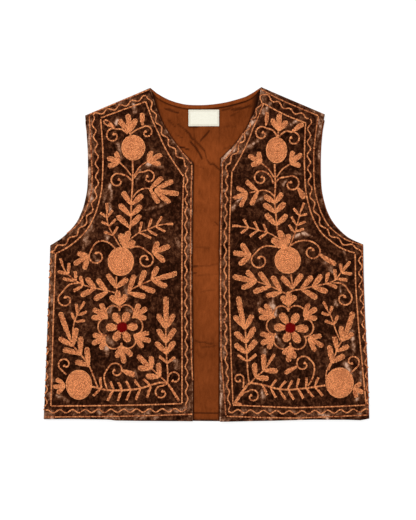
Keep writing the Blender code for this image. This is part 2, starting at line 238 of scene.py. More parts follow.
# The three stitched lines round a front: how far in from the edge each runs, at five even stations along it
Lines = namedtuple("Lines", "outer wave inner")
Borders = namedtuple("Borders", "hem front_edge neckline shoulder armhole side")
RIGHT_BORDERS = Borders(
    hem=Lines([3.2, 4.5, 6, 8, 11], [12, 13.5, 15, 16, 17.5], [20.5, 22, 23.5, 25.5, 28.3]),
    front_edge=Lines([-3, 2, 2.3, 2.3, 2], [9.6, 9.8, 9.8, 9.8, 10], [17.5, 16.9, 16.2, 15.8, 14.2]),
    neckline=Lines([2.5, 0.3, -3, -3, -3], [9.5, 8.8, 7, 6.2, 7.3], [25, 19.5, 13.5, 12.4, 14.5]),
    shoulder=Lines([1.5, 1.2, 1, 1, 0.8], [10.5, 9.5, 8.7, 6, 4], [17.8, 16.7, 15, 13.8, 12.8]),
    armhole=Lines([6.5, 5.5, 7.5, 4, -6], [12, 14, 15.2, 12, 8], [24.5, 24.4, 23.2, 20.5, 16]),
    side=Lines(None, [0, 0, 0, 0.6, 2.6], [8.8, 9, 9.3, 10, 10.7]),
)
LEFT_BORDERS = Borders(
    hem=Lines([7, 5, 3.5, 5, 8], [14.5, 13, 12.5, 14, 16.5], [23, 21, 20, 23, 26.5]),
    front_edge=Lines([10.5, 2, 1.4, 1.5, 2.5], [16.4, 9.8, 8.7, 8.9, 9.8], [22.2, 17.8, 15, 15.1, 18]),
    neckline=Lines([6.5, 2.2, -2, -3, -3], [14, 7.8, 1.5, 3, 4], [27, 17, 9, 8, 10.5]),
    shoulder=Lines([3, 6, 6.7, 6.5, 6], [7, 12, 16, 15, 13], [20, 24, 26, 25, 23]),
    armhole=Lines([9.5, 12, 11.5, 9.5, 1.5], [23, 20, 18.5, 17.5, 7], [29, 27, 26, 25.5, 17]),
    side=Lines([1.6, 1.4, 1.4, 1.4, 1.4], [4.8, 5.4, 2.6, 1.6, 0], [13.3, 13.3, 11.1, 7.7, 3.1]),
)

# How far the worked hem edge hangs below the straight line between its corners, at places across
Hang = namedtuple("Hang", "x drop")
HEM_HANG = table(
    Hang,
    (-260, 0.5), (-216, -0.5), (-156, -0.5), (-146, 1), (-60, 1), (-22, 0.5), (-18, 1), (35, 1.5),
    (112, 0.5), (170, -0.5), (228, 0.5), (246, 1.5), (260, -1),
)

# The embroidery: fruits (centre and half sizes), leaves (one root, their width and their tips), stems (width
# and the places they pass), scrolls (places on the way, centre, radius, first angle and turn in degrees, and
# the share of the radius that is wound in), and a flower (centre, angle and length of each petal and cusp)
Fruit = namedtuple("Fruit", "x y half_width half_height")
Leaves = namedtuple("Leaves", "x y width tips")
Stem = namedtuple("Stem", "width places")
Scroll = namedtuple("Scroll", "way x y radius start turn wound_in")
Rosette = namedtuple("Rosette", "x y petals cusps")
Layout = namedtuple("Layout", "fruits leaves stems scrolls rosette")
RIGHT_LAYOUT = Layout(
    fruits=table(
        Fruit,
        (-117, 170, 19.5, 21), (-137, -12, 21.5, 23.5), (-204, -209, 21.5, 24.5),
    ),
    leaves=table(
        Leaves,
        (-124, 194, 9, [(-126, 224), (-140, 215), (-112, 216)]), (-102, 205, 8, [(-103, 226)]),
        (-146, 202, 6, [(-157, 208)]), (-139, 146, 8.5, [(-145, 164), (-159, 154), (-158, 140)]),
        (-94, 148, 8.5, [(-87, 165), (-71, 159), (-73, 143)]), (-90, 104, 8.5, [(-70, 123), (-76, 81)]),
        (-83, 102, 8.5, [(-53, 117), (-44, 96), (-58, 82)]), (-120, 79, 9, [(-134, 100), (-102, 95)]),
        (-121, 61, 9, [(-140, 80), (-104, 78)]), (-123, 42, 9, [(-143, 61), (-105, 62)]),
        (-159, 58, 4.5, [(-170, 66), (-150, 70)]), (-159, 64, 5, [(-160, 82)]),
        (-155, 45, 4.5, [(-168, 52), (-145, 56)]), (-150, 30, 4.5, [(-164, 35), (-142, 44)]),
        (-107, 34, 4.5, [(-103, 52), (-88, 25)]), (-94, 39, 4.5, [(-88, 57), (-79, 30)]),
        (-81, 44, 4.5, [(-71, 60), (-66, 35)]), (-65, 48, 4.5, [(-53, 48)]),
        (-131, 10, 10.5, [(-138, 33), (-124, 37), (-114, 20)]),
        (-188, -3, 8.5, [(-207, 1), (-212, -17), (-196, -25)]),
        (-86, 2, 9, [(-77, 20), (-58, 13), (-67, -13)]), (-145, -54, 9, [(-159, -32), (-126, -39)]),
        (-139, -82, 9.5, [(-154, -67), (-143, -58), (-128, -65)]),
        (-158, -60, 9, [(-175, -40), (-180, -73)]), (-177, -54, 9, [(-192, -38), (-201, -67)]),
        (-197, -50, 6, [(-202, -35), (-213, -59)]), (-209, -43, 5.5, [(-210, -27), (-230, -39)]),
        (-221, -32, 5.5, [(-220, -14), (-238, -28)]), (-228, -24, 4.5, [(-234, -7)]),
        (-125, -62, 9, [(-115, -33), (-97, -68)]), (-108, -50, 9, [(-98, -26), (-82, -60)]),
        (-88, -41, 9, [(-78, -20), (-47, -30), (-63, -52)]),
        (-159, -102, 9, [(-182, -88), (-169, -79), (-184, -102)]),
        (-115, -100, 8.5, [(-108, -79), (-95, -86), (-96, -103)]),
        (-116, -130, 8.5, [(-92, -126), (-89, -139), (-102, -150)]),
        (-162, -134, 9, [(-182, -129), (-183, -144), (-169, -153)]),
        (-136, -148, 9, [(-144, -166), (-132, -175), (-119, -163)]),
        (-188, -179, 9, [(-191, -149), (-210, -172)]), (-201, -161, 9, [(-201, -132), (-230, -153)]),
        (-214, -147, 9, [(-208, -118), (-236, -134)]), (-216, -141, 8.5, [(-234, -93)]),
        (-209, -109, 5, [(-216, -94), (-194, -106)]), (-207, -98, 5, [(-209, -80), (-191, -92)]),
        (-203, -90, 5, [(-195, -76)]), (-226, -211, 7.5, [(-241, -200), (-246, -212), (-239, -223)]),
        (-168, -214, 4.5, [(-170, -197), (-181, -227)]), (-148, -217, 4.5, [(-154, -204), (-158, -235)]),
        (-135, -218, 4.5, [(-141, -205), (-142, -235)]), (-121, -217, 4.5, [(-129, -203), (-128, -234)]),
        (-105, -214, 4.5, [(-115, -201), (-113, -234)]), (-89, -211, 4.5, [(-101, -200), (-95, -230)]),
        (-135, -186, 9.5, [(-114, -194)]), (-65, -119, 9, [(-65, -68), (-78, -96), (-52, -96)]),
        (-65, -142, 9, [(-78, -120), (-50, -119)]), (-64, -160, 9, [(-82, -141), (-51, -140)]),
        (-63, -175, 5, [(-76, -163), (-50, -165)]), (-74, -196, 9, [(-77, -174), (-97, -195)]),
        (-88, -183, 9, [(-89, -163), (-110, -162), (-110, -182)]), (-62, -207, 4.5, [(-44, -235)]),
    ),
    stems=table(
        Stem,
        (3.9, [(-124, 196), (-120, 188)]), (3.0, [(-242, 1), (-250, 3)]),
        (3.8, [(-118, 149), (-118, 118), (-120, 86), (-121, 51), (-124, 32)]),
        (3.1, [(-139, 146), (-129, 137), (-120, 125)]), (3.1, [(-94, 148), (-106, 140), (-116, 125)]),
        (3.1, [(-118, 90), (-110, 100), (-99, 105), (-89, 104)]),
        (3.5, [(-149, 203), (-157, 205), (-163, 209), (-164, 213), (-160, 214), (-155, 211),
            (-149, 204)]),
        (2.9, [(-137, 11), (-144, 21), (-150, 32), (-157, 46), (-160, 64)]),
        (2.9, [(-123, 23), (-108, 34), (-94, 39), (-80, 45), (-65, 48)]),
        (3.4, [(-144, -36), (-144, -54), (-142, -62)]), (4.2, [(-139, -80), (-139, -91)]),
        (4.2, [(-136, -152), (-136, -142)]),
        (3.1, [(-147, -62), (-157, -59), (-176, -55), (-195, -50), (-209, -43), (-222, -32),
            (-228, -24)]),
        (3.1, [(-127, -63), (-119, -56), (-108, -50), (-96, -45), (-87, -41)]),
        (3.4, [(-174, -213), (-181, -195), (-188, -179), (-201, -161), (-214, -146)]),
        (2.9, [(-214, -134), (-213, -117), (-209, -102), (-203, -90)]),
        (4.2, [(-183, -212), (-167, -216), (-153, -218), (-137, -218), (-121, -217), (-106, -215),
            (-90, -210), (-76, -206), (-62, -206)]),
        (3.4, [(-62, -206), (-62, -189), (-63, -175), (-64, -161), (-65, -142), (-65, -120)]),
        (3.4, [(-63, -206), (-74, -196), (-88, -183)]),
    ),
    scrolls=table(
        Scroll,
        ([(-126, 192), (-135, 199)], -149, 190, 10.8, 65, 360, 0.85),
        ([(-121, 192), (-113, 198)], -96.3, 195.3, 9.3, 125, -325, 0.83),
        ([(-119, 117), (-128, 125)], -142, 118, 10.6, 80, 310, 0.82),
        ([(-116, 121), (-109, 130)], -93.5, 123.5, 10.3, 130, -310, 0.85),
        ([(-146, 9), (-155, 17), (-167, 21), (-178, 16.5)], -176.3, -3.6, 11.3, 150, 305, 0.55),
        ([(-123, 9), (-113, 12), (-103, 10)], -96.7, -9, 11.6, 65, -400, 0.85),
        ([(-200, -46), (-211, -47), (-221, -50)], -226, -72.3, 11, 125, 325, 0.72),
        ([(-224, -193)], -227, -177, 9.6, -125, -330, 0.8),
        ([(-159, -216), (-163, -203), (-163, -192)], -146, -186, 11.3, 140, -320, 0.85),
        ([], -52, -197.8, 8.9, 175, -285, 0.35), ([(-63, -208)], -71.5, -221, 10.2, 85, 330, 0.85),
    ),
    rosette=Rosette(
        -135, -117,
        [(2, 25), (69, 26), (121, 26), (181, 26), (240, 25), (295, 26)],
        [(42, 22), (98, 28), (149, 27), (207, 28), (268, 27), (328, 22)],
    ),
)
LEFT_LAYOUT = Layout(
    fruits=table(
        Fruit,
        (112, 166, 17.5, 21.5), (130, -10, 21.5, 22), (213, -206, 23, 25),
    ),
    leaves=table(
        Leaves,
        (116, 197, 9, [(117, 225), (104, 216), (129, 213)]), (95, 205, 6.5, [(96, 227)]),
        (137, 196, 8.5, [(155, 209)]), (88, 146, 8.5, [(83, 164), (67, 158), (71, 142)]),
        (134, 145, 8.5, [(138, 165), (153, 160), (151, 141)]), (146, 106, 9, [(156, 88)]),
        (83, 101, 8, [(63, 117), (71, 78)]), (66, 97, 7.5, [(48, 107), (42, 89), (54, 75)]),
        (110, 82, 9, [(92, 93), (121, 98)]), (110, 66, 9, [(91, 80), (126, 82)]),
        (111, 46, 9, [(94, 64), (129, 63)]), (149, 61, 4.5, [(139, 73), (161, 64)]),
        (150, 67, 4.5, [(156, 82)]), (144, 46, 4.5, [(136, 60), (159, 52)]),
        (141, 35, 4.5, [(132, 47), (156, 40)]), (67, 42, 4.5, [(59, 56), (55, 33)]),
        (83, 38, 4.5, [(76, 52), (69, 28)]), (97, 34, 4.5, [(91, 48), (84, 25)]),
        (55, 44, 4.5, [(41, 45)]), (125, 9, 10.5, [(104, 24), (116, 38), (132, 32)]),
        (71, -2, 9, [(56, 17), (42, 2), (52, -17)]), (180, 0, 8, [(207, -17)]),
        (138, -55, 9, [(120, -36), (153, -32)]), (131, -82, 9.5, [(120, -67), (131, -60), (143, -67)]),
        (120, -61, 9, [(105, -35), (95, -67)]), (102, -52, 9, [(84, -29), (75, -61)]),
        (80, -44, 9, [(64, -27), (42, -36), (56, -55)]), (151, -56, 9, [(169, -35), (177, -71)]),
        (169, -53, 9, [(184, -33), (194, -61)]), (191, -47, 6, [(195, -29), (209, -54)]),
        (206, -40, 5.5, [(205, -24), (226, -42)]), (216, -30, 5.5, [(214, -15), (230, -12), (233, -32)]),
        (106, -101, 9, [(83, -88), (94, -80), (84, -102)]),
        (156, -100, 8.5, [(164, -79), (177, -87), (177, -103)]),
        (163, -134, 8, [(184, -131), (187, -148), (174, -156)]),
        (108, -133, 9, [(86, -127), (87, -144), (99, -152)]),
        (134, -148, 9, [(122, -160), (131, -173), (142, -167)]),
        (62, -120, 9, [(51, -68), (44, -99), (74, -97)]), (63, -142, 9.5, [(45, -125), (77, -117)]),
        (64, -159, 9.5, [(45, -144), (80, -138)]), (65, -172, 5, [(50, -161), (80, -160)]),
        (79, -197, 9, [(77, -174), (100, -199)]), (91, -186, 9, [(91, -160), (114, -187)]),
        (96, -181, 5, [(109, -160)]), (68, -206, 5, [(45, -239)]), (45, -238, 4.5, [(57, -241)]),
        (89, -209, 4.5, [(97, -226)]), (102, -213, 4.5, [(112, -200), (111, -230)]),
        (116, -216, 4.5, [(127, -203), (127, -233)]), (130, -216, 4.5, [(137, -202), (140, -233)]),
        (144, -214, 4.5, [(148, -199), (155, -231)]), (159, -213, 4.5, [(160, -197), (171, -229)]),
        (173, -212, 4.5, [(179, -197), (186, -227)]), (145, -180, 7.5, [(125, -191)]),
        (235, -214, 7.5, [(247, -206), (251, -222), (240, -230)]),
        (200, -174, 9, [(196, -146), (221, -162)]), (209, -156, 8, [(204, -131), (228, -147)]),
        (217, -139, 9, [(215, -115), (235, -127)]), (219, -135, 9, [(234, -92)]),
        (204, -113, 5, [(189, -107), (210, -98)]), (197, -98, 5, [(184, -94), (201, -83)]),
        (194, -91, 5, [(187, -76)]),
    ),
    stems=table(
        Stem,
        (3.4, [(115, 198), (114, 186)]),
        (3.8, [(109, 144), (110, 110), (109, 86), (111, 64), (112, 48), (114, 34)]),
        (3.1, [(88, 145), (99, 136), (108, 123)]), (3.1, [(134, 144), (122, 136), (112, 123)]),
        (3.1, [(109, 92), (101, 99), (92, 102), (83, 101), (69, 98)]),
        (2.9, [(132, 10), (141, 32), (145, 48), (149, 61), (151, 70)]),
        (2.9, [(116, 24), (101, 33), (87, 37), (69, 42), (55, 44)]),
        (3.4, [(135, -32), (137, -46), (138, -58)]), (4.4, [(131, -80), (131, -92)]),
        (4.4, [(134, -152), (134, -142)]), (3.1, [(130, -65), (120, -60), (103, -52), (81, -44)]),
        (3.1, [(133, -61), (140, -58), (153, -56), (169, -52), (189, -48), (205, -42), (215, -30)]),
        (3.4, [(68, -206), (66, -189), (65, -171), (64, -155), (63, -138), (62, -120)]),
        (3.4, [(68, -209), (78, -198), (92, -186), (98, -178)]),
        (4.2, [(70, -206), (83, -208), (97, -211), (111, -215), (129, -217), (145, -216), (171, -213),
            (190, -210)]),
        (3.4, [(195, -186), (200, -175), (205, -163), (210, -150), (217, -138)]),
        (2.9, [(214, -139), (207, -123), (203, -111), (199, -99), (194, -91)]),
        (3.1, [(198, -174), (192, -188), (191, -200)]),
    ),
    scrolls=table(
        Scroll,
        ([(113, 187), (107, 197)], 89, 193.3, 10.4, 50, 345, 0.85),
        ([(116, 188), (122, 193.5), (128, 196.5)], 138.2, 184.8, 10.3, 100, -300, 0.68),
        ([(107, 112), (104, 121), (98.5, 128.5)], 87.5, 122, 10.8, 60, 340, 0.85),
        ([(111, 114), (117, 121)], 136, 113, 12, 115, -350, 0.82),
        ([(119, 10), (108, 12), (97, 13), (86, 9)], 84.3, -10, 12.4, 130, 335, 0.68),
        ([(132, 11), (140, 17.5), (149, 20.8), (159, 21.5),
            (169, 19.5)], 169.5, 4.5, 12.1, 50, -345, 0.8),
        ([(203, -46), (213, -46.5), (222, -51.5)], 220.8, -70.3, 11.8, 45, -325, 0.83),
        ([(58.5, -214), (59.3, -207)], 52.2, -200, 7.2, 5, 285, 0.5),
        ([(56.5, -227), (60, -222)], 73.3, -226.8, 9.8, 130, -325, 0.75),
        ([(162, -211), (169, -200), (172.5, -187), (171.5, -176)], 155.5, -175.3, 11.7, 40, 345, 0.85),
        ([(231, -190)], 233.5, -173.5, 10.5, -60, 290, 0.8),
    ),
    rosette=Rosette(
        134, -118,
        [(-4, 29), (63, 26), (123, 28), (178, 26), (250, 24), (301, 28)],
        [(31, 26), (96, 27), (147, 29), (204, 25), (271, 27), (329, 26)],
    ),
)


def smooth_step(value):
    """0 up to 0, 1 from 1, and a soft rise between."""
    t = np.clip(value, 0.0, 1.0)
    return t * t * (3 - 2 * t)


def smooth_path(knots, samples=14):
    """Dense points on the Catmull-Rom curve through the knots."""
    points = np.array([tuple(k) for k in knots], float)
    run = np.vstack([2 * points[0] - points[1], points, 2 * points[-1] - points[-2]])
    t = (np.arange(samples) / samples)[:, None]
    path = []
    for a, b, c, d in zip(run, run[1:], run[2:], run[3:]):
        square = 2 * a - 5 * b + 4 * c - d
        cube = 3 * b - a - 3 * c + d
        path.append(0.5 * (2 * b + (c - a) * t + square * t**2 + cube * t**3))
    return np.vstack([*path, points[-1:]])


def distances(path):
    """How far along the path each of its points is."""
    return np.concatenate([[0.0], np.cumsum(np.hypot(*np.diff(path, axis=0).T))])


def points_along(path, away):
    """The points that lie these distances along the path."""
    run = distances(path)
    return np.column_stack([np.interp(away, run, path[:, 0]), np.interp(away, run, path[:, 1])])


def heading(path, away, reach):
    """Which way the path runs, from a little before each place on it to a little past it."""
    length = distances(path)[-1]
    ahead = points_along(path, np.clip(away + reach, reach, length))
    return ahead - points_along(path, np.clip(away - reach, 0, length - reach))


def places(length, step, near_start=(), near_end=()):
    """Distances from 0 to a length, about one step apart, with extra ones close to its ends."""
    start, end = max(near_start, default=0.0), length - max(near_end, default=0.0)
    count = max(1, round((end - start) / step))
    even = list(np.linspace(start, end, count + 1))
    ends = [d for d in near_start if d < start] + [length - d for d in near_end if length - d > end]
    return np.array(sorted({0.0, float(length), *even, *ends}))


def away_from(points, start, end):
    """Distance of each point from a straight stroke."""
    run = end - start
    along = np.clip((points - start) @ run / (run @ run), 0.0, 1.0)
    return np.hypot(*(points - start - along[..., None] * run).T).T


def relief(points, ridges):
    """How far the ridges lift the cloth, and the troughs sink it."""
    up, down = np.zeros(points.shape[:-1]), np.zeros(points.shape[:-1])
    for r in ridges:
        away = away_from(points, np.array([r.start_x, r.start_y]), np.array([r.end_x, r.end_y]))
        height = r.height * (1 - smooth_step(away / (2 * r.reach)))
        up, down = np.maximum(up, height), np.minimum(down, height)
    return up + down


def ripple(points, size, seed):
    """Soft uneven noise from -1 to 1 whose swells are about one size apart."""
    flat = points.reshape(-1, 2) / size
    return np.array([noise.noise(Vector((x, y, seed))) for x, y in flat]).reshape(points.shape[:-1])


# The cloth


def outer_edge(half, shares, side_inset=0.0, armhole_inset=0.0):
    """A point for each row up the side seam and round the armhole, moved inwards by the insets."""
    inward = 1 if half.side[0].x < 0 else -1
    side, lower, upper = (smooth_path(k) for k in (half.side, half.lower_armhole, half.upper_armhole))
    lengths = [distances(p)[-1] for p in (side, lower, upper)]
    points = [points_along(side, shares[0] * lengths[0]) + [inward * side_inset, 0]]
    before = 0.0
    for path, length, stretch in ((lower, lengths[1], shares[1]), (upper, lengths[2], shares[2])):
        along = (before + stretch * length) / (lengths[1] + lengths[2])
        open_share = smooth_step(along / ARMHOLE_ENDS) * smooth_step((1 - along) / ARMHOLE_ENDS)
        inset = armhole_inset * open_share + side_inset * (1 - smooth_step(along / ARMHOLE_ENDS))
        points.append(points_along(path, stretch * length) + np.column_stack([inward * inset, 0 * inset]))
        before += length
    return np.vstack(points)


def row_shares(half, step, near_hem, near_top):
    """Where the rows cross the side, the lower armhole and the upper armhole, as shares of each."""
    stretches = (half.side, half.lower_armhole, half.upper_armhole)
    side, lower, upper = (distances(smooth_path(knots))[-1] for knots in stretches)
    return (
        places(side, step, near_start=near_hem) / side,
        places(lower, step)[1:] / lower,
        places(upper, step, near_end=near_top)[1:] / upper,
    )


def free_edge(half, shares):
    """A point for each row up a front's free edge and its neckline."""
    stretches = [smooth_path(k) for k in (half.front_edge, half.upper_front_edge, half.neckline)]
    return np.vstack([points_along(p, share * distances(p)[-1]) for p, share in zip(stretches, shares)])


def hem_hang(p):
    """How far each point drops with the uneven edge of the hem."""
    return np.interp(p[:, 0], *zip(*HEM_HANG)) * (1 - smooth_step((p[:, 1] - HEM_Y) / HEM_HANG_REACH))


# Uneven swells of the fronts: how high, how far apart, and what is added to a front's own seed
Swell = namedtuple("Swell", "height size seed")
FRONT_SWELLS = table(Swell, (0.28, 34.0, 0), (0.16, 13.0, 5))


def front_rows(half, ridges, armhole_inset, seed):
    """The underside of a front as rows of points, with how far each is from the front's edges."""
    shares = row_shares(half, CLOTH_STEP, NEAR_EDGE, NEAR_EDGE)
    outer, inner = outer_edge(half, shares, armhole_inset=armhole_inset), free_edge(half, shares)
    widths = np.hypot(*(inner - outer).T)
    widest, band = widths.max(), max(NEAR_EDGE)
    base = places(widest, CLOTH_STEP, NEAR_EDGE, NEAR_EDGE)
    tip, neck_point = outer[-1], inner[-1]
    shoulder = (neck_point - tip) / np.hypot(*(neck_point - tip))
    side_rows = len(shares[0])
    rows, edges = [], []
    for i, (a, b, width) in enumerate(zip(outer, inner, widths)):
        middle = band + (base - band) * (width - 2 * band) / (widest - 2 * band)
        away = np.where(base <= band, base, np.where(widest - base <= band, width - (widest - base), middle))
        p = a + (b - a) * (away / width)[:, None]
        p[:, 1] -= hem_hang(p)
        sewn = 1.0 if i < side_rows else 1 - smooth_step(np.hypot(*(a - outer[side_rows - 1])) / SEAM_ROLL)
        to_shoulder = np.abs(shoulder[0] * (p - tip)[:, 1] - shoulder[1] * (p - tip)[:, 0])
        roll = sewn * (1 - smooth_step(away / SEAM_ROLL))
        roll = np.maximum(roll, 1 - smooth_step(to_shoulder / SEAM_ROLL))
        wave = 0.5 - 0.5 * np.cos(2 * math.pi * p[:, 1] / FRONT_EDGE_WAVE)
        near_edge = 1 - smooth_step((width - away) / FRONT_EDGE_REACH)
        rise = np.maximum(relief(p, ridges), FRONT_EDGE_LIFT * wave * near_edge)
        rise += sum(swell.height * ripple(p, swell.size, seed + swell.seed) for swell in FRONT_SWELLS)
        z = FRONT_BOTTOM - SEAM_DROP * roll + rise * (1 - roll)
        rows.append(np.column_stack([p, z]))
        edges.append(np.column_stack([away, width - away, p[:, 1] - outer[0][1], to_shoulder]))
    return np.array(rows), np.array(edges)


Insets = namedtuple("Insets", "side edge hem shoulder")


def top_outline(x, neck):
    """The height of the back's shoulders and neck edge at each x."""
    ends = RIGHT_HALF.upper_armhole[-1], LEFT_HALF.upper_armhole[-1]
    line = np.vstack([tuple(ends[0]), neck, tuple(ends[1])])
    return np.interp(x, line[:, 0], line[:, 1])


def back_rows(insets, step, neck_step, near_hem):
    """Rows across the whole back, from the wearer's right to the left."""
    shares = row_shares(RIGHT_HALF, step, near_hem, ())
    right = outer_edge(RIGHT_HALF, shares, insets.side, insets.edge)
    left = outer_edge(LEFT_HALF, shares, insets.side, insets.edge)
    neck = smooth_path(BACK_NECK)
    tips = right[-1][0], left[-1][0]
    stops = [tips[0], neck[0][0], -VISIBLE_HALF_WIDTH, VISIBLE_HALF_WIDTH, neck[-1][0], tips[1]]
    columns = []
    beside = BESIDE_STEPS * neck_step
    for start, end, gap in zip(stops, stops[1:], (HIDDEN_STEP, beside, neck_step, beside, HIDDEN_STEP)):
        columns += list(start + places(end - start, gap))
    top_x = np.array(sorted({round(x, 6) for x in columns}))
    share = (top_x - tips[0]) / (tips[1] - tips[0])
    into_neck = np.minimum(top_x - neck[0][0], neck[-1][0] - top_x) / NECK_BLEND
    top_inset = insets.shoulder + (insets.edge - insets.shoulder) * smooth_step(into_neck)
    straight = right[-1][1] + (left[-1][1] - right[-1][1]) * share
    rising = len(shares[2])
    rows = []
    for i, (a, b) in enumerate(zip(right, left)):
        lift = max(0.0, (i + 1 + rising - len(right)) / rising)
        p = a + (b - a) * share[:, None]
        p[:, 1] += lift * (top_outline(top_x, neck) - top_inset - straight)
        hem_share = max(0.0, 1 - i / len(shares[0]))
        p[:, 1] += hem_share * (insets.hem - HEM_SAG * (1 - (2 * share - 1) ** 2)) - hem_hang(p)
        rows.append(np.column_stack([p, 0 * share]))
    return np.array(rows)


def make_active(obj):
    """Selects this object alone, as the modelling operators need."""
    bpy.ops.object.select_all(action="DESELECT")
    obj.select_set(True)
    bpy.context.view_layer.objects.active = obj


def new_object(name, points, faces, material, values=None):
    """A mesh from points in millimetres, its values kept as attributes and its plan as a UV map in metres."""
    mesh = bpy.data.meshes.new(name)
    mesh.from_pydata((points * MM).tolist(), [], faces)
    for key, numbers in (values or {}).items():
        layer = mesh.attributes.new(key, "FLOAT", "POINT")
        layer.data.foreach_set("value", np.asarray(numbers, np.float32).ravel())
    corners = np.empty(len(mesh.loops), np.int32)
    mesh.loops.foreach_get("vertex_index", corners)
    plan = (points[corners, :2] * MM).astype(np.float32)
    mesh.uv_layers.new(name="cut").data.foreach_set("uv", plan.ravel())
    mesh.polygons.foreach_set("use_smooth", np.ones(len(mesh.polygons), bool))
    mesh.materials.append(material)
    obj = bpy.data.objects.new(name, mesh)
    bpy.context.scene.collection.objects.link(obj)
    return obj


def grid_faces(rows, columns):
    """The four corners of each face of a grid."""
    first = (np.arange(rows - 1)[:, None] * columns + np.arange(columns - 1)).ravel()
    return np.column_stack([first, first + 1, first + columns + 1, first + columns]).tolist()


def cloth(name, rows, thickness, material, values=None):
    """A shell of cloth on rows of points, which are its underside, with rolled edges."""
    count, columns = rows.shape[:2]
    faces = grid_faces(count, columns)
    a, b, c = rows[0, 0], rows[0, 1], rows[1, 0]
    if (b - a)[0] * (c - a)[1] - (b - a)[1] * (c - a)[0] < 0:
        faces = [f[::-1] for f in faces]
    obj = new_object(name, rows.reshape(-1, 3), faces, material, values)
    wall = obj.modifiers.new("wall", "SOLIDIFY")
    wall.thickness, wall.offset = thickness * MM, 1.0
    roll = obj.modifiers.new("rolled_edge", "BEVEL")
    roll.width, roll.segments = EDGE_ROUNDING * MM, 2
    roll.limit_method, roll.angle_limit = "ANGLE", EDGE_ANGLE
    make_active(obj)
    for modifier in ("wall", "rolled_edge"):
        bpy.ops.object.modifier_apply(modifier=modifier)
    return obj


def plan_area(rows):
    """Area of the cloth's plan in square metres."""
    ring = np.vstack([rows[0], rows[1:, -1], rows[-1][::-1], rows[::-1, 0]])[:, :2] * MM
    x, y = ring.T
    return abs(float(np.sum(x * np.roll(y, -1) - y * np.roll(x, -1)))) / 2


# Finishes


# The sockets of the Mix node that hold colours, which share their names with others
MIX_FACTOR, MIX_FIRST, MIX_SECOND, MIX_RESULT = 0, 6, 7, 2


class Value:
    """A socket of a material's nodes. Sums on it add Math nodes."""

    def __init__(self, tree, socket):
        self.tree, self.socket = tree, socket

    def sum_of(self, operation, *values):
        return self.tree.node("Math", {"operation": operation}, dict(enumerate(values)))

    def __add__(self, other):
        return self.sum_of("ADD", self, other)

    def __sub__(self, other):
        return self.sum_of("SUBTRACT", self, other)

    def __rsub__(self, other):
        return self.sum_of("SUBTRACT", other, self)

    def __mul__(self, other):
        return self.sum_of("MULTIPLY", self, other)

    __radd__, __rmul__ = __add__, __mul__


class Finish:
    """A material under construction, with its one shader."""

    def __init__(self, name):
        self.material = bpy.data.materials.new(name)
        self.material.use_nodes = True
        self.nodes = self.material.node_tree.nodes
        self.shader = self.nodes["Principled BSDF"]

    def node(self, kind, settings=None, inputs=None, output=0):
        made = self.nodes.new("ShaderNode" + kind)
        for key, value in (settings or {}).items():
            if key == "stops":
                stops = made.color_ramp.elements
                while len(stops) < len(value):
                    stops.new(0.5)
                for stop, (place, colour) in zip(stops, value):
                    stop.position, stop.color = place, (*colour, 1.0)
            else:
                setattr(made, key, value)
        for key, value in (inputs or {}).items():
            self.fill(made.inputs[key], value)
        return Value(self, made.outputs[output])

    def fill(self, socket, value):
        if isinstance(value, Value):
            self.material.node_tree.links.new(value.socket, socket)
        else:
            socket.default_value = value

    def set(self, **values):
        for key, value in values.items():
            self.fill(self.shader.inputs[key.replace("_", " ")], value)

    def mix(self, factor, a, b):
        first, second = (value if isinstance(value, Value) else (*value, 1.0) for value in (a, b))
        inputs = {MIX_FACTOR: factor, MIX_FIRST: first, MIX_SECOND: second}
        return self.node("Mix", {"data_type": "RGBA"}, inputs, MIX_RESULT)

    def ramp(self, factor, stops):
        return self.node("ValToRGB", {"stops": stops}, {0: factor})

    def place(self, scale=(1, 1, 1), turn=0.0):
        where = self.node("TexCoord", output="Object")
        return self.node("Mapping", None, {0: where, "Scale": scale, "Rotation": (0, 0, turn)})

    def noise(self, size, detail=3.0, rough=0.5, twist=0.0, where=None):
        """Noise whose grains are about one size in millimetres."""
        inputs = {"Vector": where or self.place(), "Scale": 1000 / size, "Detail": detail, "Roughness": rough}
        return self.node("TexNoise", None, {**inputs, "Distortion": twist})

    def value(self, name):
        return self.node("Attribute", {"attribute_name": name}, output="Fac")

    def bump(self, height, depth, strength=1.0):
        inputs = {"Height": height, "Distance": depth * MM, "Strength": strength}
        self.set(Normal=self.node("Bump", None, inputs))


def linear(red, green, blue):
    """A colour given as it looks on screen, 0 to 255, as the shader's own numbers."""
    shares = (red / 255, green / 255, blue / 255)
    return tuple(((c + 0.055) / 1.055) ** 2.4 if c > 0.04 else c / 12.92 for c in shares)


def velvet():
    finish = Finish("brown_velvet")
    streaks = finish.noise(9, detail=5, rough=0.68, twist=1.6, where=finish.place((1.0, 0.5, 1.0), 0.4))
    clouds = finish.noise(46, detail=3, rough=0.55, twist=0.8)
    mottle = finish.noise(6.5, detail=4, rough=0.65, twist=0.8)
    pile = finish.noise(1.5, detail=3, rough=0.7)
    # The paleness attribute is brushed and rubbed pile and partly painted sheen of the pile, most along the
    # free edges
    brushed = finish.value("paleness") * (streaks * 1.6 + mottle * 0.7 - 0.25) + (clouds - 0.5) * 0.45
    brushed = brushed + (streaks - 0.5) * 0.7 + (mottle - 0.5) * 1.2 + (pile - 0.5) * 0.5 + 0.21
    colour = finish.ramp(
        brushed,
        [
            (0.0, linear(20, 6, 1)),
            (0.2, linear(42, 17, 7)),
            (0.42, linear(82, 47, 28)),
            (0.68, linear(132, 92, 69)),
            (1.0, linear(198, 158, 134)),
        ],
    )
    finish.set(Base_Color=colour, Roughness=pile * 0.15 + 0.75)
    finish.set(Specular_IOR_Level=0.015, Sheen_Weight=0.01, Sheen_Roughness=0.45)
    finish.set(Sheen_Tint=(0.75, 0.55, 0.42, 1.0))
    finish.bump(pile * 0.5 + mottle * 0.5 + streaks * 0.8, 0.9, 0.7)
    return finish.material


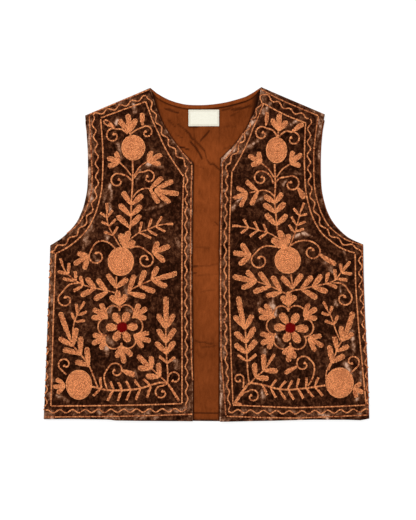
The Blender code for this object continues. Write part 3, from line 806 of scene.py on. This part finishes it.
def cotton():
    finish = Finish("rust_cotton")
    slubs = finish.noise(3.2, detail=2, rough=0.6, where=finish.place((1.0, 0.25, 1.0)))
    weave = finish.noise(0.9, detail=2, rough=0.6)
    clouds = finish.noise(60, detail=2)
    crush = finish.noise(15, detail=4, rough=0.6, twist=1.0, where=finish.place((1.0, 0.55, 1.0), 0.9))
    # The shadow attribute is painted shade: it darkens the lit tone and mixes towards near black; below 0 it
    # is painted light
    lit = clouds * 0.8 + slubs * 0.6 + crush * 0.8 + weave * 0.6 - finish.value("shadow") * 0.7 - 0.99
    colour = finish.mix(lit, linear(98, 42, 8), linear(150, 74, 31))
    colour = finish.mix(finish.value("shadow"), colour, linear(32, 8, 0))
    finish.set(Base_Color=colour, Roughness=weave * 0.1 + 0.78)
    finish.set(Specular_IOR_Level=0.05, Sheen_Weight=0.02, Sheen_Roughness=0.5)
    finish.set(Sheen_Tint=(0.9, 0.6, 0.4, 1.0))
    finish.bump(weave * 0.25 + slubs * 0.35 + crush * 2.6, 1.2, 0.9)
    return finish.material


def woven_label():
    finish = Finish("cream_label")
    thread = finish.noise(0.8, detail=2, where=finish.place((0.35, 1.0, 1.0)))
    colour = finish.mix(thread, linear(214, 210, 192), linear(238, 236, 222))
    # The shadow attribute is painted shade, mixed towards a dull beige
    colour = finish.mix(finish.value("shadow"), colour, linear(150, 138, 112))
    finish.set(Base_Color=colour, Roughness=thread * 0.15 + 0.45)
    finish.set(Specular_IOR_Level=0.3, Sheen_Weight=0.05)
    finish.bump(thread, 0.35, 0.6)
    return finish.material


def thread(name, dark, light, dull):
    finish = Finish(name)
    ply = finish.noise(0.9, detail=2, rough=0.6)
    mood = finish.noise(9, detail=2)
    colour = finish.mix(finish.value("tone") + (ply - 0.5) * 0.5 + (mood - 0.5) * 0.3, dark, light)
    finish.set(Base_Color=colour, Roughness=ply * 0.2 + dull)
    finish.set(Specular_IOR_Level=0.05, Sheen_Weight=0.01, Sheen_Roughness=0.4)
    finish.bump(ply, 0.35, 0.6)
    return finish.material


# Embroidery

# One chain-stitch loop, as long and as wide as 1: its rim, then its raised ridge and the hollow in its middle
LOOP_RIM = [(-0.56, 0.0), (-0.18, 0.45), (0.34, 0.46), (0.58, 0.0), (0.34, -0.46), (-0.18, -0.45)]
LOOP_MIDDLE = (0.06, 0.0)
RIDGE_SHARE = 0.6
HOLLOW_HEIGHT = 0.35
SUNK = -0.25
# Painted shade on the rim and in the hollow of each loop, and a painted highlight on its ridge
LOOP_SHADE_AND_HIGHLIGHT = (-0.75, 0.24, -0.2)  # what the rim, the ridge and the hollow add to a loop's tone

# How much the stitches vary: aside for each radian that they turn, in size and in tone
STRAY = 1.6
SIZE_SPREAD = 0.05
TONE_SPREAD = 0.2
LOOSE_TONE_SPREAD = 0.26
TIGHT = 0.1

FRUIT_CHAIN = 2.05
PLAIN_CHAIN = 3.5
RING_CHAIN = 3.4
KNOT_CHAIN = 3.6
KNOT_PLACES = ((0.0, 0.9), (0.9, -0.7), (-0.9, -0.6))
# The pads are darker than the stitches over them: painted shade in the gaps between stitches
PAD_TONE = 0.26
PAD_RIM = 0.86
PAD_SUNK = 0.3
STEEPEST = 0.75  # the least upward part of a surface's normal on which a stitch still lies

Part = namedtuple("Part", "points faces tones")


def pad_mesh(drop, ring, height):
    """A pad on the cloth: its foot, its raised rim and its middle. None where it would run off the cloth."""
    spots = [drop(x, y)[0] for x, y in ring]
    centre = ring.mean(axis=0)
    middle, normal = drop(*centre)
    if middle is None or any(spot is None for spot in spots):
        return None
    foot = np.array(spots)
    inner = foot.copy()
    inner[:, :2] = centre + (ring - centre) * PAD_RIM
    inner[:, 2] = foot[:, 2] + height * 0.8
    foot[:, 2] -= PAD_SUNK
    count = len(ring)
    faces = []
    for i in range(count):
        j = (i + 1) % count
        faces.append((i, j, count + j, count + i))
        faces.append((count + i, count + j, 2 * count))
    faces.append(tuple(range(count))[::-1])
    area = np.sum(ring[:, 0] * np.roll(ring[:, 1], -1) - ring[:, 1] * np.roll(ring[:, 0], -1))
    if area < 0:
        faces = [face[::-1] for face in faces]
    return Part(np.vstack([foot, inner, middle + normal * height]), faces, [PAD_TONE] * (2 * count + 1))


def loop_shape():
    """The plan, the heights and the faces of one loop."""
    rim, middle = np.array(LOOP_RIM), np.array(LOOP_MIDDLE)
    n = len(rim)
    plan = np.vstack([rim, middle + (rim - middle) * RIDGE_SHARE, middle[None]])
    heights = np.array([SUNK] * n + [1.0] * n + [HOLLOW_HEIGHT])
    faces = [(i, i + n, (i + 1) % n + n, (i + 1) % n) for i in range(n)]
    faces += [(i + n, 2 * n, (i + 1) % n + n) for i in range(n)]
    return plan, heights, [*faces, tuple(range(n))]


LOOP_PLAN, LOOP_HEIGHTS, LOOP_FACES = loop_shape()


def loop_mesh(drop, x, y, angle, long, wide, tone, lift):
    """One loop on the cloth, tilted as the cloth is. None off its edge."""
    spot, up = drop(x, y)
    if spot is None:
        return None
    ahead = np.array([math.cos(angle), math.sin(angle), 0.0])
    ahead[2] = -(up @ ahead) / up[2]
    ahead /= np.linalg.norm(ahead)
    side = np.cross(up, ahead)
    high = LOOP_HEIGHTS * LINK_HEIGHT * min(1.15, wide / 2.3) + np.where(LOOP_HEIGHTS > 0, lift, 0)
    points = spot + LOOP_PLAN[:, :1] * long * ahead + LOOP_PLAN[:, 1:] * wide * side + high[:, None] * up
    # The loop's tone, with painted shade on its rim and hollow and a painted highlight on its ridge
    rim, ridge, hollow = (tone + more for more in LOOP_SHADE_AND_HIGHLIGHT)
    n = len(LOOP_RIM)
    return Part(points, LOOP_FACES, [rim] * n + [ridge] * n + [hollow])


class Needlework:
    """Stitches and the low pads under them, gathered for one piece."""

    def __init__(self, seed):
        self.stitches, self.pads = [], []
        self.chance = np.random.default_rng(seed)

    def chain(self, path, width, tone=0.5, lift=0.0, loose=0.06):
        """Chain stitches end to end along a path; loose ones turn and stray more."""
        length = distances(path)[-1]
        count = max(1, round(length / LINK_PITCH))
        away = (np.arange(count) + 0.5) * length / count
        here = points_along(path, away)
        ahead = heading(path, away, 0.7)
        angle = np.arctan2(ahead[:, 1], ahead[:, 0]) + self.chance.normal(0, loose, count)
        here = here + self.chance.normal(0, loose * STRAY, here.shape)
        size = width * (1 + self.chance.normal(0, SIZE_SPREAD, count))
        shade = tone + self.chance.normal(0, TONE_SPREAD if loose < TIGHT else LOOSE_TONE_SPREAD, count)
        long = np.full(count, length / count * LINK_OVERLAP)
        self.stitches.append(np.column_stack([here, angle, long, size, shade, np.full(count, lift)]))

    def pad(self, ring, height):
        """A low pad inside a ring of points."""
        self.pads.append((np.asarray(ring), height))

    def fruit(self, fruit, height=1.0):
        """An oval filled with rings of stitches over a pad, higher in its middle."""
        centre, half = np.array([fruit.x, fruit.y]), np.array([fruit.half_width, fruit.half_height])
        turn = np.linspace(0, 2 * math.pi, 49)
        ring = np.column_stack([np.cos(turn), np.sin(turn)])
        self.pad(centre + ring[:-1] * (half - 0.8), height)
        rows = round((half.mean() - 0.6) / ROW_GAP)
        for i in range(rows):
            share = (i + 0.5) / rows
            wobble = 1 + 0.02 * np.sin(3 * turn + i) * (1 - share)
            start = self.chance.integers(0, 48)
            size = half * (share - 0.2 / rows)
            path = centre + np.roll(ring[:-1], start, axis=0) * wobble[:-1, None] * size
            path = np.vstack([path, path[:1]])
            lift = height - 1 + 0.55 * (1 - share**2)
            self.chain(path, FRUIT_CHAIN, tone=0.78, lift=lift, loose=0.17 if i < rows - 1 else 0.07)

    def leaf(self, root, tip, width, bend=0.0):
        """A leaf with a narrow root and a round tip, filled with rows of stitches along it."""
        root, tip = np.asarray(root, float), np.asarray(tip, float)
        length = np.hypot(*(tip - root))
        axis = (tip - root) / length
        side = np.array([-axis[1], axis[0]])
        rows = max(2, round(width / ROW_GAP))
        reach = LEAF_REACH * width
        for place in [(2 * i + 1) / rows - 1 for i in range(rows)]:
            out = place * width / 2
            end = length - (reach - math.sqrt(reach**2 - out**2))
            along = np.linspace(0.0 if abs(place) < 0.6 else 1.0, end, 24)
            swell = LEAF_NARROW + (1 - LEAF_NARROW) * smooth_step(along / (LEAF_FULL * length))
            swell *= 1 - LEAF_TAPER * smooth_step((along - end + LEAF_TIP * width) / (LEAF_TIP * width))
            aside = out * swell + bend * length * 4 * (along / length) * (1 - along / length)
            path = root + axis * along[:, None] + side * aside[:, None]
            self.chain(path, width / rows * 1.07, tone=0.6, lift=0.25 * (1 - abs(place)), loose=0.12)
        turn = np.linspace(0, 2 * math.pi, 20, endpoint=False)
        along = length * (0.54 - 0.44 * np.cos(turn))
        aside = 0.38 * width * np.sin(turn) * (0.55 + 0.45 * smooth_step(along / (LEAF_FULL * length)))
        self.pad(root + axis * along[:, None] - side * aside[:, None], 0.7)

    def scroll(self, scroll):
        """A line that winds in to a small round knot."""
        turn = np.linspace(0, 1, 40)
        angle = np.radians(scroll.start + scroll.turn * turn)
        radius = scroll.radius * (1 - scroll.wound_in * turn**3)
        coil = np.column_stack([scroll.x + radius * np.cos(angle), scroll.y + radius * np.sin(angle)])
        path = smooth_path([Knot(x, y) for x, y in [*scroll.way, *coil[::3]]], samples=6)
        self.chain(path, PLAIN_CHAIN)
        for place in KNOT_PLACES:
            middle = path[-1] + place
            self.chain(np.array([middle + [-1.4, 0], middle + [1.4, 0.3]]), KNOT_CHAIN, lift=0.2)

    def rosette(self, rosette):
        """A flower's petals, and the ring of lobes round it, which meet in cusps."""
        centre = np.array([rosette.x, rosette.y])
        for degrees, length in rosette.petals:
            out = np.array([math.cos(math.radians(degrees)), math.sin(math.radians(degrees))])
            self.leaf(centre + out * PETAL_START, centre + out * length, PETAL_WIDTH)
        cusps = [(math.radians(degrees), away) for degrees, away in rosette.cusps]
        cusps.append((cusps[0][0] + 2 * math.pi, cusps[0][1]))
        share = np.linspace(0, 1, 24)
        for (start, near), (end, far) in zip(cusps, cusps[1:]):
            angle = start + (end - start) * share
            radius = near + (far - near) * share + LOBE_DEPTH * np.sin(math.pi * share) ** LOBE_ROUNDNESS
            self.chain(centre + np.column_stack([np.cos(angle), np.sin(angle)]) * radius[:, None], RING_CHAIN)

    def work(self, layout):
        """All the motifs of a front."""
        for stem in layout.stems:
            self.chain(smooth_path([Knot(x, y) for x, y in stem.places]), stem.width)
        for scroll in layout.scrolls:
            self.scroll(scroll)
        for group in layout.leaves:
            for tip in group.tips:
                self.leaf((group.x, group.y), tip, group.width, bend=self.chance.normal(0, 0.02))
        for fruit in layout.fruits:
            self.fruit(fruit)
        self.rosette(layout.rosette)

    def sewn_on(self, name, ground, material):
        """The piece itself, every stitch set down on the cloth below it."""
        surface = BVHTree.FromObject(ground, bpy.context.evaluated_depsgraph_get())

        def drop(x, y):
            spot, normal, _, _ = surface.ray_cast(Vector((x * MM, y * MM, 0.05)), Vector((0, 0, -1)))
            if spot is None or normal.z < STEEPEST:
                return None, None
            return np.array(spot) / MM, np.array(normal)

        parts = [pad_mesh(drop, ring, height) for ring, height in self.pads]
        parts += [loop_mesh(drop, *stitch) for stitch in np.vstack(self.stitches)]
        points, faces, tones = [], [], []
        before = 0
        for part in parts:
            if part is None:
                continue
            points.append(part.points)
            faces += [tuple(before + i for i in face) for face in part.faces]
            tones += part.tones
            before += len(part.points)
        return new_object(name, np.vstack(points), faces, material, {"tone": tones})


BorderLine = namedtuple("BorderLine", "kind wave width tone")
BORDER_LINES = table(
    BorderLine, ("outer", 0.0, 2.8, 0.36), ("wave", 2.6, 3.0, 0.5), ("inner", 0.0, 3.0, 0.52)
)
FREE_EDGE_WAVE_SHARE = 0.72


def edge_paths(half):
    """The six edges of a front in turn, from the side end of the hem round to the side seam."""
    armhole = np.vstack([smooth_path(half.lower_armhole), smooth_path(half.upper_armhole)[1:]])
    return Borders(
        hem=smooth_path([half.side[0], half.front_edge[0]]),
        front_edge=np.vstack([smooth_path(half.front_edge), smooth_path(half.upper_front_edge)[1:]]),
        neckline=smooth_path(half.neckline),
        shoulder=smooth_path([half.neckline[-1], half.upper_armhole[-1]]),
        armhole=armhole[::-1],
        side=smooth_path(half.side)[::-1],
    )


def moved_in(path, offsets, inward, wave):
    """The path moved in from the edge, with a wave along it, and run on past both its ends."""
    length = distances(path)[-1]
    away = np.arange(-RUN_ON, length + RUN_ON, BORDER_STEP)
    here = points_along(path, away)
    ahead = heading(path, away, 2)
    ahead /= np.hypot(*ahead.T)[:, None]
    here += ahead * (away - np.clip(away, 0, length))[:, None]
    side = inward * np.column_stack([-ahead[:, 1], ahead[:, 0]])
    depth = np.interp(away / length, np.linspace(0, 1, len(offsets)), offsets)
    depth += wave * np.sin(2 * math.pi * away / WAVE_PERIOD)
    return here + side * depth[:, None]


def crossing(first, second):
    """Where the end of one line crosses the start of the next: an index in each, or None."""
    p, r = first[:-1, None], np.diff(first, axis=0)[:, None]
    q, s = second[None, :-1], np.diff(second, axis=0)[None]
    cross = r[..., 0] * s[..., 1] - r[..., 1] * s[..., 0]
    gap = q - p
    cross = np.where(np.abs(cross) < 1e-9, 1e-9, cross)
    t = (gap[..., 0] * s[..., 1] - gap[..., 1] * s[..., 0]) / cross
    u = (gap[..., 0] * r[..., 1] - gap[..., 1] * r[..., 0]) / cross
    hits = np.argwhere((t >= 0) & (t <= 1) & (u >= 0) & (u <= 1))
    return hits[-1] if len(hits) else None


def cut_at_corners(lines):
    """Ends each line where it meets the next one, and starts that one there."""
    past = round(RUN_ON / BORDER_STEP)
    for i, line in enumerate(lines):
        j = (i + 1) % len(lines)
        hit = None if line is None or lines[j] is None else crossing(line, lines[j])
        end, start = ((0 if line is None else len(line)) - past, past) if hit is None else hit
        if line is not None:
            lines[i] = line[: end + 1]
        if lines[j] is not None:
            lines[j] = lines[j][start + 1 :]


def border(work, half, borders):
    """Two plain lines and a waved one between them, round every edge of a front."""
    inward = 1 if half.side[0].x < 0 else -1
    edges = edge_paths(half)
    for kind, wave, width, tone in BORDER_LINES:
        lines = []
        for name in Borders._fields:
            offsets = getattr(getattr(borders, name), kind)
            swing = wave * (FREE_EDGE_WAVE_SHARE if name == "front_edge" else 1.0)
            lines.append(None if offsets is None else moved_in(getattr(edges, name), offsets, inward, swing))
        cut_at_corners(lines)
        for name, line in zip(Borders._fields, lines):
            if line is not None and len(line) > 2:
                hidden = SIDE_SHADE if kind == "outer" and name == "side" else 0.0
                work.chain(line, width, tone=tone - hidden)


def ends_of(row):
    """The two ends of a ridge, a crease or a stroke."""
    return np.array([row.start_x, row.start_y]), np.array([row.end_x, row.end_y])


def bent(plan, size, seed, amount):
    """The plan with each place moved a little aside, so that straight strokes on it look uneven."""
    first, second = seed
    return plan + np.stack([ripple(plan, size, first), ripple(plan, size, second)], axis=-1) * amount


def paleness(rows, edges, strokes, seed, free_edge_rub_and_sheen, side_pale):
    """How pale the pile is, brushed the other way and partly painted sheen: along the edges, in patches, and
    in strokes.
    """
    plan = rows[..., :2]
    side, free, hem, shoulder = np.moveaxis(edges, -1, 0)
    patches = np.clip(0.5 + 1.1 * ripple(plan, 11.0, seed) + 0.5 * ripple(plan, 27.0, seed + 3), 0, 1.2)
    pale = np.zeros(plan.shape[:-1])
    for away, start, fade, strength, where in (
        # Along the free edge: rubbed pile, and painted sheen where the pile is seen edge-on at the very edge
        (free, 0, 2.9, 1.15 * free_edge_rub_and_sheen, 0.35 + 0.65 * patches),
        (free, 6, 12, 0.55 * free_edge_rub_and_sheen, patches),
        (side, 3, 14, side_pale, patches),
        (shoulder, 0, 16, 0.34, patches),
        (hem, 8, 16, 0.5, patches**2),
    ):
        pale = np.maximum(pale, strength * (1 - smooth_step((away - start) / fade)) * where)
    uneven = bent(plan, 17.0, (seed + 6, seed + 8), 5)
    spread = 1.25 + 0.9 * ripple(plan, 9.0, seed + 11)
    fade = 0.95 + 0.9 * ripple(plan, 13.0, seed + 14)
    for s in strokes:
        away = away_from(uneven, *ends_of(s))
        pale = np.maximum(pale, (s.paleness + 0.1) * fade * (1 - smooth_step(away / (s.width * spread))))
    return np.clip(pale, 0, 1)


def lining_shadow(plan, hem_away, seam):
    """How much painted shade the lining gets: at its hem, in its creases, beside the fronts and below the
    neck, and more towards its top and bottom; below 0 it is painted light.
    """
    shadow = 0.6 * seam + 0.35 * (1 - smooth_step(hem_away / 3))
    uneven = bent(plan, 9.0, (5.0, 7.0), 1.3)
    for c in LINING_CREASES:
        shade = c.dark * (1 - smooth_step(away_from(uneven, *ends_of(c)) / c.reach))
        shadow = np.where(shade > 0, np.maximum(shadow, shade), shadow + shade)
    x, y = plan[..., 0], plan[..., 1]
    high = smooth_step((y - 205) / 50)
    for half, reach in ((RIGHT_HALF, 4), (LEFT_HALF, 13)):
        line = np.vstack([smooth_path(k) for k in (half.front_edge, half.upper_front_edge, half.neckline)])
        inside = np.abs(x - np.interp(y, line[:, 1], line[:, 0]))
        shadow = np.maximum(shadow, 0.92 * (1 - smooth_step(inside / (2.9 + reach * high))))
    neck = smooth_path(BACK_NECK)
    below_neck = np.interp(x, neck[:, 0], neck[:, 1]) - y
    under_band = (0.45 + 0.3 * smooth_step(x / 60)) * (1 - smooth_step(np.abs(below_neck - 7.4) / 1.8))
    shadow = np.maximum(shadow, under_band)
    shadow += 0.13 * smooth_step((-y - 90) / 60) + 0.16 * smooth_step((y - 150) / 60)
    return np.clip(shadow, -0.5, 1)


def make_back():
    """The velvet under everything, and the area of its plan."""
    rows = back_rows(Insets(side=0.0, edge=0.0, hem=0.0, shoulder=0.0), BACK_STEP, BACK_STEP, NEAR_EDGE)
    pale = np.full(rows.shape[:2], 0.1)
    return cloth("velvet_back", rows, BACK_THICKNESS, brown_velvet, {"paleness": pale}), plan_area(rows)


def make_lining():
    """The lining with its creases and its hem stitching, and the area of its plan."""
    insets = Insets(side=8.5, edge=LINING_EDGE_INSET, hem=2.4, shoulder=9.5)
    rows = back_rows(insets, LINING_ROW_STEP, LINING_STEP, NEAR_LINING_HEM)
    plan = rows[..., :2]
    hem_away = plan[..., 1] - rows[0, :, 1][None]
    seam = np.exp(-(((hem_away - HEM_SEAM) / 0.9) ** 2))
    creases = relief(plan, LINING_RIDGES)
    rows[..., 2] = LINING_BOTTOM + creases - 0.4 * seam + 0.22 * ripple(plan, 15.0, 2.0) + 0.2
    rows[..., 2] = np.maximum(rows[..., 2], LINING_BOTTOM - 0.15)
    shadow = lining_shadow(plan, hem_away, seam)
    return cloth("cotton_lining", rows, LINING_THICKNESS, rust_cotton, {"shadow": shadow}), plan_area(rows)


def make_neck_band():
    """A band that follows the inside of the neck edge and narrows to its ends."""
    path = smooth_path(BACK_NECK)
    length = distances(path)[-1]
    start, end = BINDING_END_GAP, length - BINDING_END_GAP
    away = np.linspace(start, end, round((end - start) / 3) + 1)
    here = points_along(path, away)
    ahead = heading(path, away, 1)
    ahead /= np.hypot(*ahead.T)[:, None]
    inward = np.column_stack([ahead[:, 1], -ahead[:, 0]])
    middle = smooth_step(np.minimum(away, length - away) / 22.0)
    wide = BINDING_END_WIDTH + (BINDING_WIDTH - BINDING_END_WIDTH) * middle
    rows = []
    for share in np.linspace(1, 0, 7):
        p = here + inward * (LINING_EDGE_INSET + wide * share)[:, None]
        dip = 0.22 * (1 - abs(2 * share - 1) ** 2)
        rows.append(np.column_stack([p, FRONT_BOTTOM + dip + 0.05 * ripple(p, 9.0, 3.0)]))
    # Painted shade along the band's long edges, most along its lower edge
    shadow = np.repeat([0.5, 0.1, 0, 0, 0, 0, 0.1], len(away))
    return cloth("neck_band", np.array(rows), BINDING_THICKNESS, rust_cotton, {"shadow": shadow})


def make_label():
    """The bare label, a little puckered, with a stitched line inside its rim drawn as painted shade."""
    across, up = np.meshgrid(np.linspace(0, LABEL_WIDTH, 34), np.linspace(0, LABEL_HEIGHT, 20))
    x, y = LABEL_CENTRE_X - LABEL_WIDTH / 2 + across, LABEL_CENTRE_Y - LABEL_HEIGHT / 2 + up
    pucker = 0.25 * (1 + np.sin(across / 4.5 + up / 9.0))
    rim = np.minimum.reduce([across, LABEL_WIDTH - across, up, LABEL_HEIGHT - up])
    # Painted shade along the stitched line, 2 mm inside the rim
    shadow = 0.5 * np.exp(-(((rim - 2) / 0.8) ** 2))
    rows = np.stack([x, y, FRONT_BOTTOM + pucker], axis=-1)
    return cloth("woven_label", rows, LABEL_THICKNESS, cream_weave, {"shadow": shadow})


def make_front(side, half, ridges, armhole_inset, swell_seed, strokes, pales, layout, borders, seed):
    """A front, the pieces of its embroidery, and the area of its plan."""
    rows, edges = front_rows(half, ridges, armhole_inset, swell_seed)
    pale = paleness(rows, edges, strokes, float(seed), *pales)
    front = cloth(f"velvet_{side}_front", rows, FRONT_THICKNESS, brown_velvet, {"paleness": pale})
    motifs, lines, centre = Needlework(seed), Needlework(seed + 1), Needlework(seed + 2)
    motifs.work(layout)
    border(lines, half, borders)
    flower = layout.rosette
    centre.fruit(Fruit(flower.x, flower.y, FLOWER_CENTRE, FLOWER_CENTRE), height=1.6)
    pieces = [
        motifs.sewn_on(f"{side}_motifs", front, apricot_thread),
        lines.sewn_on(f"{side}_border", front, apricot_thread),
        centre.sewn_on(f"{side}_flower_centre", front, red_thread),
    ]
    return front, pieces, plan_area(rows)


# Making the waistcoat

brown_velvet, rust_cotton, cream_weave = velvet(), cotton(), woven_label()
apricot_thread = thread("apricot_thread", linear(120, 46, 17), linear(255, 169, 110), 0.5)
red_thread = thread("red_thread", linear(84, 0, 0), linear(126, 0, 0), 0.5)

back, back_area = make_back()
lining, lining_area = make_lining()
binding = make_neck_band()
label = make_label()
right_front = make_front(
    "right",
    RIGHT_HALF,
    RIGHT_FRONT_RIDGES,
    armhole_inset=0.0,
    swell_seed=11.0,
    strokes=RIGHT_STROKES,
    pales=(0.5, 0.34),
    layout=RIGHT_LAYOUT,
    borders=RIGHT_BORDERS,
    seed=4,
)
left_front = make_front(
    "left",
    LEFT_HALF,
    LEFT_FRONT_RIDGES,
    armhole_inset=LEFT_FRONT_ARMHOLE_INSET,
    swell_seed=23.0,
    strokes=LEFT_STROKES,
    pales=(0.65, 0.16),
    layout=LEFT_LAYOUT,
    borders=LEFT_BORDERS,
    seed=9,
)

# Which solid each piece stands for

for piece, node, slot in (
    (back, "back", "velvet"),
    (lining, "back_lining", "lining_cotton"),
    (binding, "neck_binding", "lining_cotton"),
    (label, "label", "label_weave"),
    (right_front[0], "right_front", "velvet"),
    (left_front[0], "left_front", "velvet"),
):
    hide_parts(node)
    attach(piece, "root")

for front, pieces, area in (right_front, left_front):
    for piece in pieces:
        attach(piece, "root")

# Floor, light and camera, in metres

FLOOR_SIZE = 7.0
FLOOR_DROP = 0.0003
Lamp = namedtuple("Lamp", "name place size power")
LAMPS = table(Lamp, ("window", (-1.3, 1.5, 2.2), 1.6, 46.0), ("fill", (1.6, -1.2, 2.4), 2.2, 16.0))
SENSOR_WIDTH = 36.0

bpy.ops.object.select_all(action="DESELECT")
bpy.ops.mesh.primitive_plane_add(size=FLOOR_SIZE, location=(0, 0, -FLOOR_DROP))
floor = bpy.context.object
floor.name = "pale_floor"
paper = Finish("pale_paper")
grain = paper.noise(4, detail=2)
paper_colour = paper.mix(grain, linear(150, 150, 149), linear(158, 158, 157))
paper.set(Base_Color=paper_colour, Roughness=grain * 0.1 + 0.8)
paper.set(Specular_IOR_Level=0.1, Emission_Color=(1.0, 1.0, 1.0, 1.0), Emission_Strength=0.74)
floor.data.materials.append(paper.material)

world = bpy.data.worlds.new("studio")
world.use_nodes = True
sky = world.node_tree.nodes["Background"].inputs
sky["Color"].default_value = (1.0, 0.995, 0.985, 1.0)
sky["Strength"].default_value = 0.72
bpy.context.scene.world = world

for lamp in LAMPS:
    light = bpy.data.lights.new(lamp.name, "AREA")
    light.energy, light.size = lamp.power, lamp.size
    holder = bpy.data.objects.new(lamp.name, light)
    holder.location = lamp.place
    holder.rotation_euler = (-Vector(lamp.place)).to_track_quat("-Z", "Y").to_euler()
    bpy.context.scene.collection.objects.link(holder)

lens = bpy.data.cameras.new("overhead")
lens.lens, lens.sensor_width = CAMERA_LENS, SENSOR_WIDTH
camera = bpy.data.objects.new("overhead", lens)
camera.location = (CAMERA_X * MM, CAMERA_Y * MM, CAMERA_HEIGHT * MM)
bpy.context.scene.collection.objects.link(camera)
bpy.context.scene.camera = camera
bpy.context.scene.view_settings.view_transform = "Standard"
bpy.context.scene.view_settings.look = "None"
